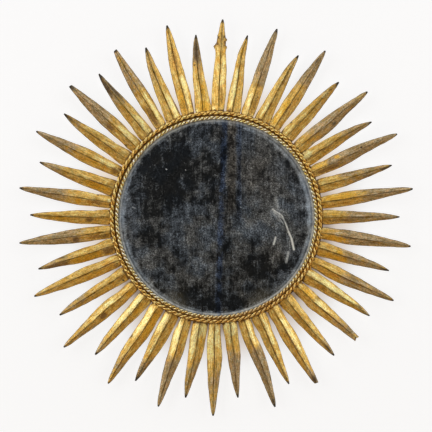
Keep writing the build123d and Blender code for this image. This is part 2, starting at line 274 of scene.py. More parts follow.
def gilt_ray_material():
    m = Nodes("aged_gilding_rays")
    rp = m.attr("rp", True)             # along, across, depth, in metres, with a shift per ray
    xr = m.attr("from_ridge")           # millimetres from the ridge line, negative anticlockwise
    xe = m.attr("from_edge")            # millimetres from the nearer cut edge
    tarnish = m.attr("tarnish")
    soot = m.attr("soot")
    pale = m.attr("pale")
    brown = m.attr("brown")
    red = m.attr("red")
    warm = m.attr("warm")
    coal = m.attr("coal")
    rope_shade_and_grime = m.attr("rope_shade_and_grime")
    crease = m.attr("crease")
    back = m.attr("back")

    streak = m.noise(m.scaled(rp, 48, 380, 260), 1.0, 5.0, 0.62)
    brushed = m.noise(m.scaled(rp, 150, 1100, 700), 1.0, 3.0, 0.6)
    patch = m.noise(rp, 115, 5.0, 0.62, 0.6)
    blotch = m.noise(m.vmath("ADD", rp, (3.3, 1.7, 0.4)), 210, 4.0, 0.62, 0.3)
    grain = m.noise(rp, 900, 3.0, 0.65)
    grit = m.noise(m.vmath("ADD", rp, (1.3, 5.7, 2.4)), 560, 3.0, 0.72)
    fleck = m.noise(rp, 380, 4.0, 0.7, 0.4)

    def centred(value, amount):
        return m.mul(m.sub(value, 0.5), amount)

    colour = m.mix(m.step(m.add(patch, centred(streak, 0.5)), 0.34, 0.66), GOLD_DEEP, GOLD)
    colour = m.mix(m.mul(m.step(streak, 0.52, 0.74), 0.60), colour, GOLD_PALE)
    w_mask = m.step(m.add(warm, m.add(centred(blotch, 0.7), centred(streak, 0.5))), 0.28, 0.72)
    colour = m.mix(m.mul(w_mask, 0.85), colour, (0.80, 0.455, 0.060, 1))
    # greenish and reddish areas in the old leaf
    colour = m.mix(m.mul(m.step(blotch, 0.56, 0.68), 0.42), colour, (0.50, 0.36, 0.085, 1))
    ruddy = m.add(red, m.add(centred(fleck, 1.3), centred(patch, 0.5)))
    colour = m.mix(m.mul(m.step(ruddy, 0.22, 0.52), 0.62), colour, m.mix(m.step(grain, 0.4, 0.6), BOLE, GOLD_DEEP))
    # painted highlights: the pale marks make the leaf paler and a little smoother
    p_noise = m.add(centred(patch, 1.0), m.add(centred(streak, 0.9), centred(grit, 0.4)))
    p_mask = m.step(m.add(pale, p_noise), 0.22, 0.92)
    colour = m.mix(m.mul(p_mask, 0.90), colour, (1.0, 0.795, 0.355, 1))

    # tarnish: a grey-brown film that breaks up into streaks and grains where it ends
    ragged = m.add(tarnish, m.add(centred(patch, 1.25), m.add(centred(streak, 1.1), centred(grit, 0.8))))
    t_mask = m.math("MINIMUM", m.step(ragged, 0.24, 0.80), 0.92)
    dull = m.mix(m.step(m.add(fleck, centred(streak, 0.7)), 0.34, 0.66), OLIVE, TAUPE)
    dull = m.mix(m.mul(m.step(grain, 0.54, 0.70), 0.40), dull, GOLD)
    dull = m.mix(m.mul(m.step(blotch, 0.50, 0.66), 0.35), dull, (0.40, 0.235, 0.135, 1))
    colour = m.mix(t_mask, colour, dull)

    # charcoal bloom
    c_noise = m.add(coal, m.add(centred(streak, 0.9), centred(grit, 0.7)))
    k_mask = m.mul(m.step(c_noise, 0.25, 0.80), 0.9)
    colour = m.mix(k_mask, colour, m.mix(m.step(fleck, 0.4, 0.62), (0.070, 0.047, 0.026, 1), CHARCOAL))

    # the dark line along the fold wanders and breaks
    wobble = centred(m.noise(m.scaled(rp, 70, 0, 0), 1.0, 3.0, 0.6), 2.4)
    near = m.math("ABSOLUTE", m.add(xr, wobble))
    width = m.line(m.noise(m.vmath("ADD", m.scaled(rp, 45, 0, 0), (9.0, 0, 0)), 1.0, 3.0, 0.6), 0.34, 0.62, 0.25, 1.35)
    fold = m.step(m.math("DIVIDE", near, m.math("MAXIMUM", width, 0.2)), 1.0, 0.25)
    fold = m.mul(fold, m.mul(crease, m.line(grit, 0.35, 0.55, 0.35, 1.0)))
    colour = m.mix(m.mul(fold, 0.92), colour, (0.100, 0.046, 0.013, 1))
    # and so does the dirt along both cut edges
    rim_in = m.add(xe, m.add(centred(fleck, 2.0), centred(streak, 1.4)))
    rim = m.mul(m.step(rim_in, 1.0, 0.05), 0.70)
    colour = m.mix(rim, colour, m.mix(m.step(grain, 0.4, 0.6), (0.060, 0.036, 0.018, 1), (0.15, 0.10, 0.05, 1)))

    # brown dirt, specks and pits
    b_noise = m.add(brown, m.add(centred(fleck, 1.2), centred(streak, 0.5)))
    d_mask = m.step(b_noise, 0.30, 0.66)
    colour = m.mix(m.mul(d_mask, 0.74), colour, m.mix(m.step(grain, 0.40, 0.62), (0.120, 0.056, 0.018, 1), (0.25, 0.125, 0.040, 1)))
    specks = m.step(m.noise(rp, 640, 2.0, 0.5), 0.64, 0.71)
    zone = m.step(m.noise(rp, 80, 3.0, 0.6), 0.42, 0.60)
    s_mask = m.mul(m.mul(specks, zone), 0.85)
    colour = m.mix(s_mask, colour, BROWN)

    # dirt and painted shade where the rays meet the rope
    g_mask = m.step(m.add(rope_shade_and_grime, m.add(centred(patch, 0.8), centred(fleck, 0.9))), 0.30, 0.72)
    colour = m.mix(m.mul(g_mask, 0.88), colour, m.mix(m.step(grain, 0.4, 0.64), (0.075, 0.035, 0.011, 1), (0.36, 0.20, 0.055, 1)))

    # grit lightens and darkens everything a little
    value = m.mul(m.line(grit, 0.30, 0.70, 0.62, 1.38), m.line(brushed, 0.30, 0.70, 0.68, 1.34))
    value = m.mul(value, m.mul(m.line(blotch, 0.32, 0.68, 0.84, 1.16), m.line(streak, 0.30, 0.70, 0.76, 1.25)))
    # small drifts of hue, as thin leaf over red ground shows
    hue = m.noise(m.vmath("ADD", m.scaled(rp, 0.55, 1, 1), (7.7, 2.2, 4.1)), 240, 3.0, 0.6)
    colour = m.mix(1.0, colour, m.mix(m.step(hue, 0.36, 0.64), (1.08, 0.955, 0.78, 1), (0.97, 1.02, 1.06, 1)), "MULTIPLY")
    n = m.nt.nodes.new("ShaderNodeVectorMath")
    n.operation = "SCALE"
    m.put(n.inputs[0], colour)
    m.put(n.inputs["Scale"], value)
    colour = m.vmath("MINIMUM", n.outputs[0], (1.0, 0.97, 0.90))

    # blackened points
    b_mask = m.step(m.add(soot, m.add(centred(fleck, 0.6), centred(grit, 0.5))), 0.30, 0.85)
    colour = m.mix(m.mul(b_mask, 0.96), colour, m.mix(m.step(grain, 0.45, 0.65), SOOT, (0.075, 0.058, 0.036, 1)))

    # bare back of the sheet
    iron = m.mix(m.step(patch, 0.35, 0.6), (0.085, 0.055, 0.032, 1), (0.19, 0.125, 0.06, 1))
    iron = m.mix(m.mul(m.step(streak, 0.5, 0.7), 0.6), iron, (0.42, 0.26, 0.085, 1))
    colour = m.mix(m.mul(back, 0.9), colour, iron)

    dirt_and_shade = m.math("MAXIMUM", m.math("MAXIMUM", b_mask, d_mask), m.math("MAXIMUM", s_mask, g_mask))
    rough = m.line(patch, 0.3, 0.7, 0.38, 0.50)
    rough = m.add(rough, centred(grit, 0.22))
    rough = m.add(rough, m.mul(t_mask, 0.07))
    rough = m.add(rough, m.mul(dirt_and_shade, 0.14))
    rough = m.math("MAXIMUM", m.sub(rough, m.mul(p_mask, 0.09)), 0.20)
    metal = m.sub(1.0, m.mul(t_mask, 0.20))
    metal = m.sub(metal, m.mul(m.math("MAXIMUM", dirt_and_shade, k_mask), 0.45))
    metal = m.math("MAXIMUM", metal, 0.0)

    height = m.add(m.mul(patch, 1.0), m.mul(fleck, 0.45))
    height = m.sub(height, m.mul(s_mask, 0.5))
    n1 = m.bump(height, 0.40, 0.0014)
    n2 = m.bump(m.add(grit, m.mul(streak, 0.7)), 0.30, 0.00045, n1)
    return m.finish(colour, rough, metal, n2, Specular_IOR_Level=0.45)


def gilt_wire_material(name, dirt_and_shade, bright, high=1.0, creamy=0.0, dim=0.0):
    m = Nodes(name)
    rp = m.attr("rp", True)
    groove = m.attr("groove")
    low = m.attr("low")
    lighter_hollows_top_right = m.attr("lighter_hollows_top_right")
    patch = m.noise(rp, 70, 4.0, 0.6, 0.5)
    grain = m.noise(rp, 1100, 3.0, 0.6)
    fleck = m.noise(rp, 420, 4.0, 0.65)
    colour = m.mix(m.step(patch, 0.36, 0.64), (0.78, 0.43, 0.085, 1), (0.86, 0.585, 0.195, 1))
    colour = m.mix(m.mul(m.step(m.add(fleck, m.mul(m.sub(patch, 0.5), 0.6)), 0.40, 0.58), bright), colour, (0.97, 0.76 + 0.04 * creamy, 0.36 + 0.20 * creamy, 1))
    worn = m.step(m.add(fleck, m.mul(m.sub(patch, 0.5), 0.5)), 0.30, 0.44)
    colour = m.mix(worn, (0.34, 0.18, 0.045, 1), colour)
    value = m.line(grain, 0.3, 0.7, 0.66 * high, 1.36 * high)
    # painted shade: the wires are darker on the lower part of the ring
    value = m.mul(value, m.sub(1.0, m.mul(m.attr("painted_shade_low_ring"), dim)))
    n = m.nt.nodes.new("ShaderNodeVectorMath")
    n.operation = "SCALE"
    m.put(n.inputs[0], colour)
    m.put(n.inputs["Scale"], value)
    colour = m.vmath("MINIMUM", n.outputs[0], (1.0, 0.95, 0.85))
    # dirt and painted shade in the hollows: where the wires touch, where they lie low, and on the outer side of the
    # rope
    reach = m.sub(m.math("MAXIMUM", m.mul(groove, 0.95), low), m.mul(lighter_hollows_top_right, 0.10))
    g = m.step(m.add(reach, m.mul(m.sub(fleck, 0.5), 0.9)), 0.62 - dirt_and_shade, 0.94 - dirt_and_shade)
    ditch = m.mix(m.step(grain, 0.36, 0.62), (0.075, 0.030, 0.006, 1), (0.24, 0.115, 0.024, 1))
    # the hollows are lighter towards the top right of the ring
    ditch = m.mix(m.mul(lighter_hollows_top_right, 0.75), ditch, (0.50, 0.290, 0.080, 1))
    colour = m.mix(m.mul(g, 0.94), colour, ditch)
    rough = m.add(m.line(fleck, 0.3, 0.7, 0.21, 0.34), m.mul(g, 0.34))
    metal = m.sub(1.0, m.mul(g, 0.75))
    n1 = m.bump(m.add(fleck, m.mul(grain, 0.4)), 0.35, 0.0006)
    return m.finish(colour, rough, metal, n1, Specular_IOR_Level=0.4)


def glass_material():
    m = Nodes("aged_convex_mirror")
    p = m.attr("rp", True)              # x, y, z in units of 1.75 mm from the mirror's centre
    x, y, z = m.xyz(p)
    flat = m.scaled(p, 1, 0, 1)
    radius = m.vmath("LENGTH", flat, out=1)

    def shifted(dx, dz):
        return m.vmath("ADD", flat, (dx, 0, dz))

    clouds = m.noise(flat, 0.030, 5.0, 0.62, 0.4)
    clouds2 = m.noise(shifted(91, 40), 0.075, 5.0, 0.66, 0.3)
    clouds3 = m.noise(shifted(-50, 11), 0.16, 4.0, 0.66, 0.3)
    wipe = m.noise(m.scaled(flat, 0.34, 1, 0.022), 1.0, 4.0, 0.64)
    wipe2 = m.noise(m.scaled(shifted(7, 3), 0.62, 1, 0.040), 1.0, 3.0, 0.6)
    fine = m.noise(flat, 0.60, 3.0, 0.72)
    dust = m.noise(shifted(31, 77), 0.98, 2.0, 0.65)
    spots = m.noise(shifted(13, 5), 0.33, 4.0, 0.7)

    def blob(cx, cz, rx, rz, inner=0.0):
        q = m.vmath("MULTIPLY", m.vmath("SUBTRACT", flat, (cx, 0, cz)), (1 / rx, 0, 1 / rz))
        return m.step(m.vmath("LENGTH", q, out=1), 1.0, inner)

    # how much pale film lies on the glass
    film = m.mul(m.sub(clouds, 0.5), 1.35)
    film = m.add(film, m.mul(m.sub(clouds2, 0.5), 1.85))
    film = m.add(film, m.mul(m.sub(clouds3, 0.5), 1.55))
    film = m.add(film, m.mul(m.sub(wipe, 0.5), 0.95))
    film = m.add(film, m.mul(m.sub(wipe2, 0.5), 0.62))
    film = m.add(film, 0.40)
    for cx, cz, rx, rz, amount in (
        (-40, 42, 60, 52, -0.54), (-70, -4, 30, 40, -0.10), (-52, 58, 34, 30, -0.12), (-70, 8, 26, 34, -0.12),
        (-26, -30, 62, 56, 0.10), (33, -9, 17, 15, 0.34), (24, -6, 26, 18, 0.14), (38, 4, 26, 24, 0.10),
        (48, 52, 40, 36, 0.20), (52, 14, 44, 60, 0.14), (58, -8, 26, 24, 0.12), (64, 34, 22, 24, -0.10), (48, -52, 34, 22, -0.30),
        (-24, -82, 64, 16, -0.20), (24, -78, 40, 16, -0.10), (4, 80, 50, 14, -0.06),
        (-14, 34, 16, 30, 0.16), (-28, 18, 12, 20, 0.18), (16, -22, 8, 34, -0.10), (76, -24, 14, 22, 0.14),
        (5, 60, 6, 34, -0.16), (24, 34, 6, 26, -0.08), (-14, -8, 24, 30, 0.10), (-4, 4, 12, 10, -0.08),
        (-76, -34, 20, 26, 0.16), (-52, -68, 26, 14, 0.12), (-24, 62, 8, 16, 0.14),
    ):
        film = m.add(film, m.mul(blob(cx, cz, rx, rz), amount))
    film = m.math("MAXIMUM", film, m.add(0.05, m.mul(clouds3, 0.10)))
    flecks = m.step(m.add(fine, m.mul(m.sub(clouds3, 0.5), 0.12)), 0.47, 0.63)
    motes = m.step(m.add(dust, m.mul(m.sub(clouds2, 0.5), 0.15)), 0.48, 0.66)
    hatch = m.noise(m.scaled(shifted(3, 9), 1.25, 1, 0.07), 1.0, 2.0, 0.6)
    grainy = m.add(0.34, m.add(m.mul(flecks, 0.92), m.mul(motes, 0.58)))
    grainy = m.mul(grainy, m.add(1.0, m.mul(m.mul(m.sub(hatch, 0.5), 2.2), blob(-8, -18, 40, 56, 0.3))))
    amount = m.mul(film, grainy)
    # larger bare spots in the silvering, lighter than the rest
    eaten = m.mul(m.step(spots, 0.655, 0.70), m.line(film, 0.0, 0.9, 0.25, 1.0))

    # scratches and smears
    def scratch(ax, az, bx, bz, width, strength, gaps):
        ba = Vector((bx - ax, 0, bz - az))
        pa = m.vmath("SUBTRACT", flat, (ax, 0, az))
        h = m.math("DIVIDE", m.vmath("DOT_PRODUCT", pa, tuple(ba), out=1), ba.length_squared, clamp=True)
        n = m.nt.nodes.new("ShaderNodeVectorMath")
        n.operation = "SCALE"
        n.inputs[0].default_value = tuple(ba)
        m.put(n.inputs["Scale"], h)
        d = m.vmath("LENGTH", m.vmath("SUBTRACT", pa, n.outputs[0]), out=1)
        broken = m.line(fine, 0.34, 0.60, 1.0 - gaps, 1.0)
        return m.mul(m.mul(m.step(d, width, width * 0.15), m.math("MAXIMUM", broken, 0.0)), strength)

    marks = None
    for s in (
        (59.0, 19.0, 61.0, 9.0, 3.4, 0.42, 0.7), (55.6, 8.2, 64.8, 2.2, 1.25, 0.85, 0.4),
        (57.0, 5.6, 66.0, -1.2, 1.15, 0.66, 0.5), (57.0, 3.0, 64.0, -4.0, 2.2, 0.34, 0.8),
        (56.0, 6.5, 59.5, 0.5, 1.4, 0.50, 0.6), (61.0, 1.5, 66.5, -6.5, 1.1, 0.50, 0.5),
        (64.8, 2.2, 68.2, -4.8, 1.30, 0.75, 0.4), (68.2, -4.8, 71.6, -14.0, 1.25, 0.85, 0.3),
        (71.6, -14.0, 74.6, -21.0, 1.50, 0.95, 0.1), (74.6, -21.0, 77.0, -31.8, 1.65, 1.05, 0.0),
        (58.6, -19.5, 56.8, -26.5, 1.5, 0.85, 0.2), (71.6, -34.6, 69.4, -44.3, 2.0, 0.62, 0.4),
        (56.8, -38.0, 55.6, -45.5, 1.1, 0.30, 0.6), (62.5, -6.0, 65.5, -12.0, 0.9, 0.25, 0.7),
        (66.0, -10.0, 62.5, -28.0, 3.6, 0.10, 1.0), (3.0, 57.0, 1.8, 53.5, 1.3, 0.30, 0.5),
        (-50.3, 48.2, -49.9, 47.9, 0.9, 0.80, 0.0), (-31.0, 47.4, -30.8, 47.0, 0.8, 0.50, 0.0),
        (-84.0, 10.5, -81.5, 9.3, 0.9, 0.45, 0.0), (23.5, 10.5, 24.3, 9.9, 0.8, 0.5, 0.0),
        (-19.0, -20.0, -14.0, -31.0, 0.8, 0.16, 0.8), (-20.0, 26.0, -12.0, 27.5, 3.0, 0.10, 0.9),
    ):
        one = scratch(*s)
        marks = one if marks is None else m.math("MAXIMUM", marks, one)

    # painted reflection: a pale band along the rim, wide at the sides, with a thin bright line at the very edge
    ang = m.math("ARCTAN2", x, z)
    wide = m.sub(5.8, m.mul(m.math("COSINE", m.sub(m.mul(ang, 2.0), 5.585)), 1.9))
    wide = m.add(wide, m.mul(m.math("COSINE", m.sub(ang, 1.5)), 0.7))
    wide = m.add(wide, m.mul(m.sub(clouds2, 0.5), 7.0))
    wide = m.add(wide, m.mul(m.sub(fine, 0.5), 3.0))
    inside = m.math("DIVIDE", m.sub(radius, m.sub(97.8, wide)), m.math("MAXIMUM", wide, 1.2))
    rim = m.step(inside, -0.10, 0.45)
    slit = m.step(m.math("ABSOLUTE", m.sub(radius, m.add(94.9, m.mul(m.sub(clouds3, 0.5), 3.0)))), 1.3, 0.3)
    rim = m.mul(rim, m.sub(m.line(m.add(m.mul(wipe, 0.5), m.mul(clouds3, 0.5)), 0.36, 0.62, 0.45, 1.05), m.mul(slit, 0.38)))
    glint_side = m.add(m.line(m.math("COSINE", m.sub(ang, 2.2)), 0.2, 1.0, 0.35, 1.25), m.line(m.math("COSINE", m.sub(ang, 4.0)), 0.7, 1.0, 0.0, 0.45))
    painted_edge_glint = m.step(m.math("ABSOLUTE", m.sub(radius, 96.6)), 1.25, 0.25)
    painted_edge_glint = m.mul(m.mul(painted_edge_glint, glint_side), m.line(clouds3, 0.38, 0.60, 0.25, 1.0))

    # silver under the film: dark, with brown foxing, and painted reflections of the room: bluish bars and a brown-grey
    # column
    tint = m.mix(m.step(clouds2, 0.3, 0.7), (0.075, 0.085, 0.10, 1), (0.16, 0.165, 0.17, 1))
    ragged_bar = m.add(m.mul(m.sub(wipe2, 0.5), 5.0), m.mul(m.sub(clouds3, 0.5), 5.0))
    bar_x = m.add(m.sub(x, m.add(4.6, m.mul(z, 0.035))), ragged_bar)
    reflected_bar = m.mul(m.step(m.math("ABSOLUTE", bar_x), 4.6, 1.2), m.step(clouds2, 0.36, 0.55))
    reflected_bar2 = m.mul(m.step(m.math("ABSOLUTE", m.add(m.sub(x, 22.5), ragged_bar)), 3.2, 0.8), m.step(z, -10.0, 12.0))
    room_reflection_bars = m.math("MAXIMUM", reflected_bar, m.mul(reflected_bar2, 0.55))
    tint = m.mix(m.mul(room_reflection_bars, 0.6), tint, (0.045, 0.085, 0.19, 1))
    room_reflection_column = m.step(m.math("ABSOLUTE", m.add(m.sub(x, 15.0), ragged_bar)), 6.0, 2.0)
    room_reflection_column = m.mul(room_reflection_column, m.step(z, -6.0, 22.0))
    tint = m.mix(m.mul(room_reflection_column, 0.5), tint, (0.21, 0.15, 0.105, 1))
    foxing = m.step(m.noise(shifted(-80, 61), 0.12, 4.0, 0.7), 0.58, 0.70)
    tint = m.mix(m.mul(foxing, 0.8), tint, (0.035, 0.022, 0.012, 1))
    # the painted rim reflection also lightens the silver
    tint = m.mix(m.mul(rim, 0.8), tint, (0.30, 0.35, 0.42, 1))

    hue = m.noise(shifted(140, -60), 0.045, 3.0, 0.55)
    haze_colour = m.mix(m.step(hue, 0.40, 0.60), (0.51, 0.60, 0.71, 1), (0.63, 0.655, 0.665, 1))
    # the painted column reflection also warms the film
    warmish = m.math("MAXIMUM", m.mul(room_reflection_column, 0.8), m.mul(blob(40, 45, 40, 42), 0.75))
    warmish = m.math("MAXIMUM", warmish, m.mul(blob(62, -30, 24, 26), 0.45))
    haze_colour = m.mix(warmish, haze_colour, (0.68, 0.64, 0.57, 1))
    haze_colour = m.mix(m.mul(room_reflection_bars, 0.70), haze_colour, (0.20, 0.34, 0.66, 1))
    haze_colour = m.mix(m.mul(rim, 0.6), haze_colour, (0.57, 0.65, 0.74, 1))
    haze_colour = m.mix(m.math("MAXIMUM", marks, painted_edge_glint), haze_colour, (0.95, 0.96, 0.92, 1))

    rough = m.add(0.10, m.mul(m.math("MINIMUM", amount, 1.0), 0.22))
    wave = m.noise(flat, 0.045, 2.0, 0.5)
    normal = m.bump(wave, 0.10, 0.004)
    m.finish(tint, rough, 1.0, normal, Coat_Weight=0.30, Coat_Roughness=0.05, Coat_IOR=1.5)

    film_bsdf = m.nt.nodes.new("ShaderNodeBsdfDiffuse")
    m.put(film_bsdf.inputs["Color"], haze_colour)
    m.put(film_bsdf.inputs["Roughness"], 0.6)
    mixer = m.nt.nodes.new("ShaderNodeMixShader")
    share = m.add(m.mul(amount, 0.385), m.mul(eaten, 0.16))
    share = m.add(share, m.mul(marks, 0.95))
    # painted rim reflection, weaker on the left
    leftward = m.line(m.math("COSINE", m.add(ang, 1.45)), 0.3, 1.0, 1.0, 0.74)
    share = m.add(share, m.mul(m.mul(rim, leftward), m.add(0.55, m.mul(flecks, 0.22))))
    share = m.add(share, m.mul(painted_edge_glint, 0.95))
    m.put(mixer.inputs[0], m.math("MINIMUM", share, 0.9))
    m.nt.links.new(m.p.outputs[0], mixer.inputs[1])
    m.nt.links.new(film_bsdf.outputs[0], mixer.inputs[2])
    m.nt.links.new(mixer.outputs[0], m.out.inputs[0])
    return m.mat


def plain_metal(name, light, dark, spots, metallic, rough, scale=1.0, rust=0.5, bump=0.3):
    """Aged metal in the node's own coordinates: two tones, spots of rust or dirt, fine bump."""
    m = Nodes(name)
    p = m.object_coords()
    patch = m.noise(p, 60 * scale, 5.0, 0.62, 0.4)
    fleck = m.noise(p, 300 * scale, 4.0, 0.68, 0.3)
    grain = m.noise(p, 1500 * scale, 3.0, 0.6)
    colour = m.mix(m.step(patch, 0.34, 0.66), dark, light)
    r = m.step(m.add(m.mul(fleck, 0.6), m.mul(patch, 0.4)), 0.62 - 0.22 * rust, 0.74 - 0.16 * rust)
    colour = m.mix(m.mul(r, 0.85), colour, m.mix(m.step(grain, 0.35, 0.65), spots, dark))
    ro = m.add(m.line(fleck, 0.3, 0.7, rough - 0.08, rough + 0.08), m.mul(r, 0.28))
    me = m.math("MAXIMUM", m.sub(metallic, m.mul(r, 0.7)), 0.0)
    n1 = m.bump(m.add(m.mul(patch, 0.4), m.add(fleck, m.mul(grain, 0.3))), bump, 0.0006)
    return m.finish(colour, ro, me, n1, Specular_IOR_Level=0.4)


def plywood_material():
    m = Nodes("aged_plywood")
    p = m.object_coords()
    x, y, z = m.xyz(p)
    # face veneer: long grain along X with rings drawn out of noise
    warp = m.noise(m.scaled(p, 6, 6, 26), 1.0, 3.0, 0.5)
    lines = m.noise(m.vmath("ADD", m.scaled(p, 14, 14, 420), (0.0, 0.0, 0.0)), 1.0, 4.0, 0.6, 0.8)
    pores = m.noise(m.scaled(p, 120, 300, 2200), 1.0, 2.0, 0.6)
    stain = m.noise(p, 9, 5.0, 0.62, 0.5)
    blot = m.noise(p, 38, 4.0, 0.66)
    colour = m.mix(m.step(lines, 0.35, 0.65), (0.205, 0.118, 0.056, 1), (0.40, 0.255, 0.135, 1))
    colour = m.mix(m.mul(m.step(warp, 0.4, 0.7), 0.4), colour, (0.30, 0.175, 0.085, 1))
    colour = m.mix(m.mul(m.step(pores, 0.60, 0.72), 0.7), colour, (0.075, 0.040, 0.018, 1))
    colour = m.mix(m.mul(m.step(stain, 0.50, 0.70), 0.55), colour, (0.105, 0.058, 0.028, 1))
    colour = m.mix(m.mul(m.step(blot, 0.64, 0.74), 0.6), colour, (0.055, 0.032, 0.018, 1))
    # plies on the edge: bands across the thickness
    layer = m.math("SINE", m.mul(y, 3770.0))
    radius = m.vmath("LENGTH", m.scaled(p, 1, 0, 1), out=1)
    on_edge = m.step(radius, 0.1752, 0.1758)
    colour = m.mix(m.mul(on_edge, m.step(layer, -0.2, 0.2)), colour, (0.12, 0.065, 0.03, 1))
    # dust drift towards the rim
    colour = m.mix(m.mul(m.step(radius, 0.12, 0.175), 0.35), colour, (0.16, 0.12, 0.085, 1))
    rough = m.line(lines, 0.3, 0.7, 0.62, 0.80)
    n1 = m.bump(m.add(m.mul(lines, 0.7), m.mul(pores, -0.7)), 0.35, 0.0006)
    return m.finish(colour, rough, 0.0, n1, Specular_IOR_Level=0.25)


def card_material():
    m = Nodes("old_card")
    p = m.object_coords()
    fibre = m.noise(m.scaled(p, 300, 300, 900), 1.0, 4.0, 0.65)
    stain = m.noise(p, 25, 4.0, 0.6)
    colour = m.mix(m.step(fibre, 0.35, 0.65), (0.30, 0.21, 0.12, 1), (0.43, 0.32, 0.20, 1))
    colour = m.mix(m.mul(m.step(stain, 0.5, 0.7), 0.6), colour, (0.14, 0.085, 0.045, 1))
    return m.finish(colour, m.line(fibre, 0.3, 0.7, 0.7, 0.9), 0.0, m.bump(fibre, 0.4, 0.0004))


# ------------------------------------------------------------------------ rays
LONG_SHAPE = [(102.0, 11.2), (107.0, 12.0), (112.0, 12.8), (120.0, 13.6), (128.0, 14.4),
              (133.0, 14.6), (140.0, 14.3), (150.0, 13.5), (158.0, 12.1), (166.0, 10.7),
              (174.0, 9.0), (182.0, 7.2), (190.0, 5.3), (194.0, 3.9), (196.5, 2.5), (198.3, 1.0)]
LONG_TIP = 198.3
SHORT_SHAPE = [(102.0, 14.5), (107.0, 15.0), (112.0, 15.2), (120.0, 14.8), (128.0, 14.3),
               (134.0, 13.9), (140.0, 12.9), (146.0, 11.9), (152.0, 10.6), (158.0, 9.2),
               (164.0, 8.0), (170.0, 6.6), (176.0, 4.5), (180.0, 2.8), (182.8, 1.0)]
SHORT_TIP = 182.8

# base angle, tip angle, tip distance, missing tip, as in the CAD source, then the angle
# that the straight lower part points at and the sideways curl of the point (units)
RAYS = [
    (1.13, 1.7, 198.0, 0.0, 1.54, 0.54), (8.55, 9.5, 184.7, 0.0, 8.98, 2.33),
    (16.75, 17.7, 198.0, 0.0, 17.56, 0.82), (24.81, 26.7, 181.5, 0.0, 26.41, 1.23),
    (32.77, 33.1, 198.9, 0.0, 33.03, 0.23), (40.75, 42.1, 182.2, 0.0, 41.94, 0.49),
    (49.38, 50.2, 196.3, 0.0, 50.01, 0.65), (57.00, 58.3, 181.8, 0.0, 57.9, 1.57),
    (64.88, 65.1, 198.7, 0.0, 64.83, 1.3), (72.99, 73.4, 182.7, 0.0, 73.4, 0.0),
    (81.91, 81.6, 198.0, 0.0, 81.52, 0.27), (89.80, 89.8, 182.7, 0.0, 89.72, 0.25),
    (98.18, 98.5, 195.9, 0.0, 98.39, 0.38), (106.44, 107.2, 180.2, 0.0, 107.02, 0.56),
    (114.80, 115.2, 195.3, 0.0, 115.16, 0.13), (122.35, 122.7, 181.6, 0.0, 122.55, 0.78),
    (130.44, 130.9, 184.7, 11.3, 130.81, 0.3), (139.58, 139.6, 180.9, 0.0, 139.6, 0.0),
    (148.22, 148.9, 193.4, 3.8, 148.96, -0.19), (156.90, 156.5, 181.4, 0.0, 156.57, -0.23),
    (165.00, 162.8, 198.0, 0.0, 162.51, 1.35), (172.82, 173.2, 181.3, 0.0, 173.36, -0.51),
    (181.06, 181.0, 198.0, 0.0, 181.14, -0.48), (188.87, 189.8, 182.7, 0.0, 189.82, -0.05),
    (197.15, 197.2, 197.6, 0.0, 197.32, -0.43), (204.67, 206.5, 182.4, 0.0, 206.48, 0.08),
    (213.19, 213.3, 198.3, 0.0, 213.48, -0.97), (222.26, 221.5, 183.1, 0.0, 221.6, -0.33),
    (230.52, 229.7, 200.3, 0.0, 229.73, -0.11), (238.78, 238.1, 184.9, 0.0, 238.18, -0.25),
    (246.62, 246.7, 198.6, 0.0, 246.66, 0.13), (254.84, 253.9, 185.3, 0.0, 254.0, -0.34),
    (262.68, 262.6, 198.8, 0.0, 262.54, 0.19), (270.15, 270.8, 186.3, 0.0, 270.73, 0.21),
    (278.12, 278.5, 199.2, 0.0, 278.46, 0.13), (285.99, 287.4, 185.4, 0.0, 287.23, 0.55),
    (295.20, 295.6, 199.8, 0.0, 295.54, 0.2), (303.06, 304.1, 184.6, 0.0, 303.9, 0.97),
    (311.42, 311.9, 197.2, 2.4, 311.84, 0.21), (320.00, 320.6, 185.5, 0.0, 320.36, 1.09),
    (328.49, 328.7, 195.6, 3.3, 328.54, 0.53), (336.35, 337.3, 184.0, 0.0, 337.02, 1.22),
    (344.84, 345.4, 198.3, 0.0, 345.23, 0.92), (352.69, 353.5, 183.8, 0.0, 353.24, 1.15),
]

# How each ray has aged, where it differs from its neighbours.
# dull: share of the length where the tarnished outer part starts, and how strong it is
DULL_FROM = {1: (0.80, 0.30), 2: (0.60, 0.30), 3: (0.36, 0.95), 4: (0.55, 0.35), 5: (0.50, 0.85), 6: (0.45, 0.35),
             7: (0.12, 0.60), 8: (0.55, 0.60), 9: (0.24, 0.85), 10: (0.35, 0.55), 11: (0.40, 0.95), 12: (0.22, 0.70),
             13: (0.10, 0.80), 14: (0.30, 0.65), 15: (0.38, 0.70), 16: (0.75, 0.50), 17: (0.66, 0.60),
             18: (0.70, 0.60), 19: (0.82, 0.70), 20: (0.75, 0.50), 21: (0.33, 1.00), 22: (0.36, 0.85),
             23: (0.42, 0.45), 24: (0.48, 0.45), 25: (0.42, 0.90), 26: (0.66, 0.80), 27: (0.62, 0.40),
             28: (0.70, 0.50), 29: (0.55, 0.45), 30: (0.45, 0.50), 31: (0.75, 0.40), 32: (0.60, 0.50),
             33: (0.25, 0.75), 34: (0.80, 0.40), 35: (0.45, 0.70), 36: (0.60, 0.40), 37: (0.48, 0.70),
             38: (0.70, 0.45), 39: (0.38, 0.80), 40: (0.45, 0.65), 41: (0.42, 0.65), 42: (0.55, 0.40),
             43: (0.80, 0.30), 44: (0.60, 0.85)}
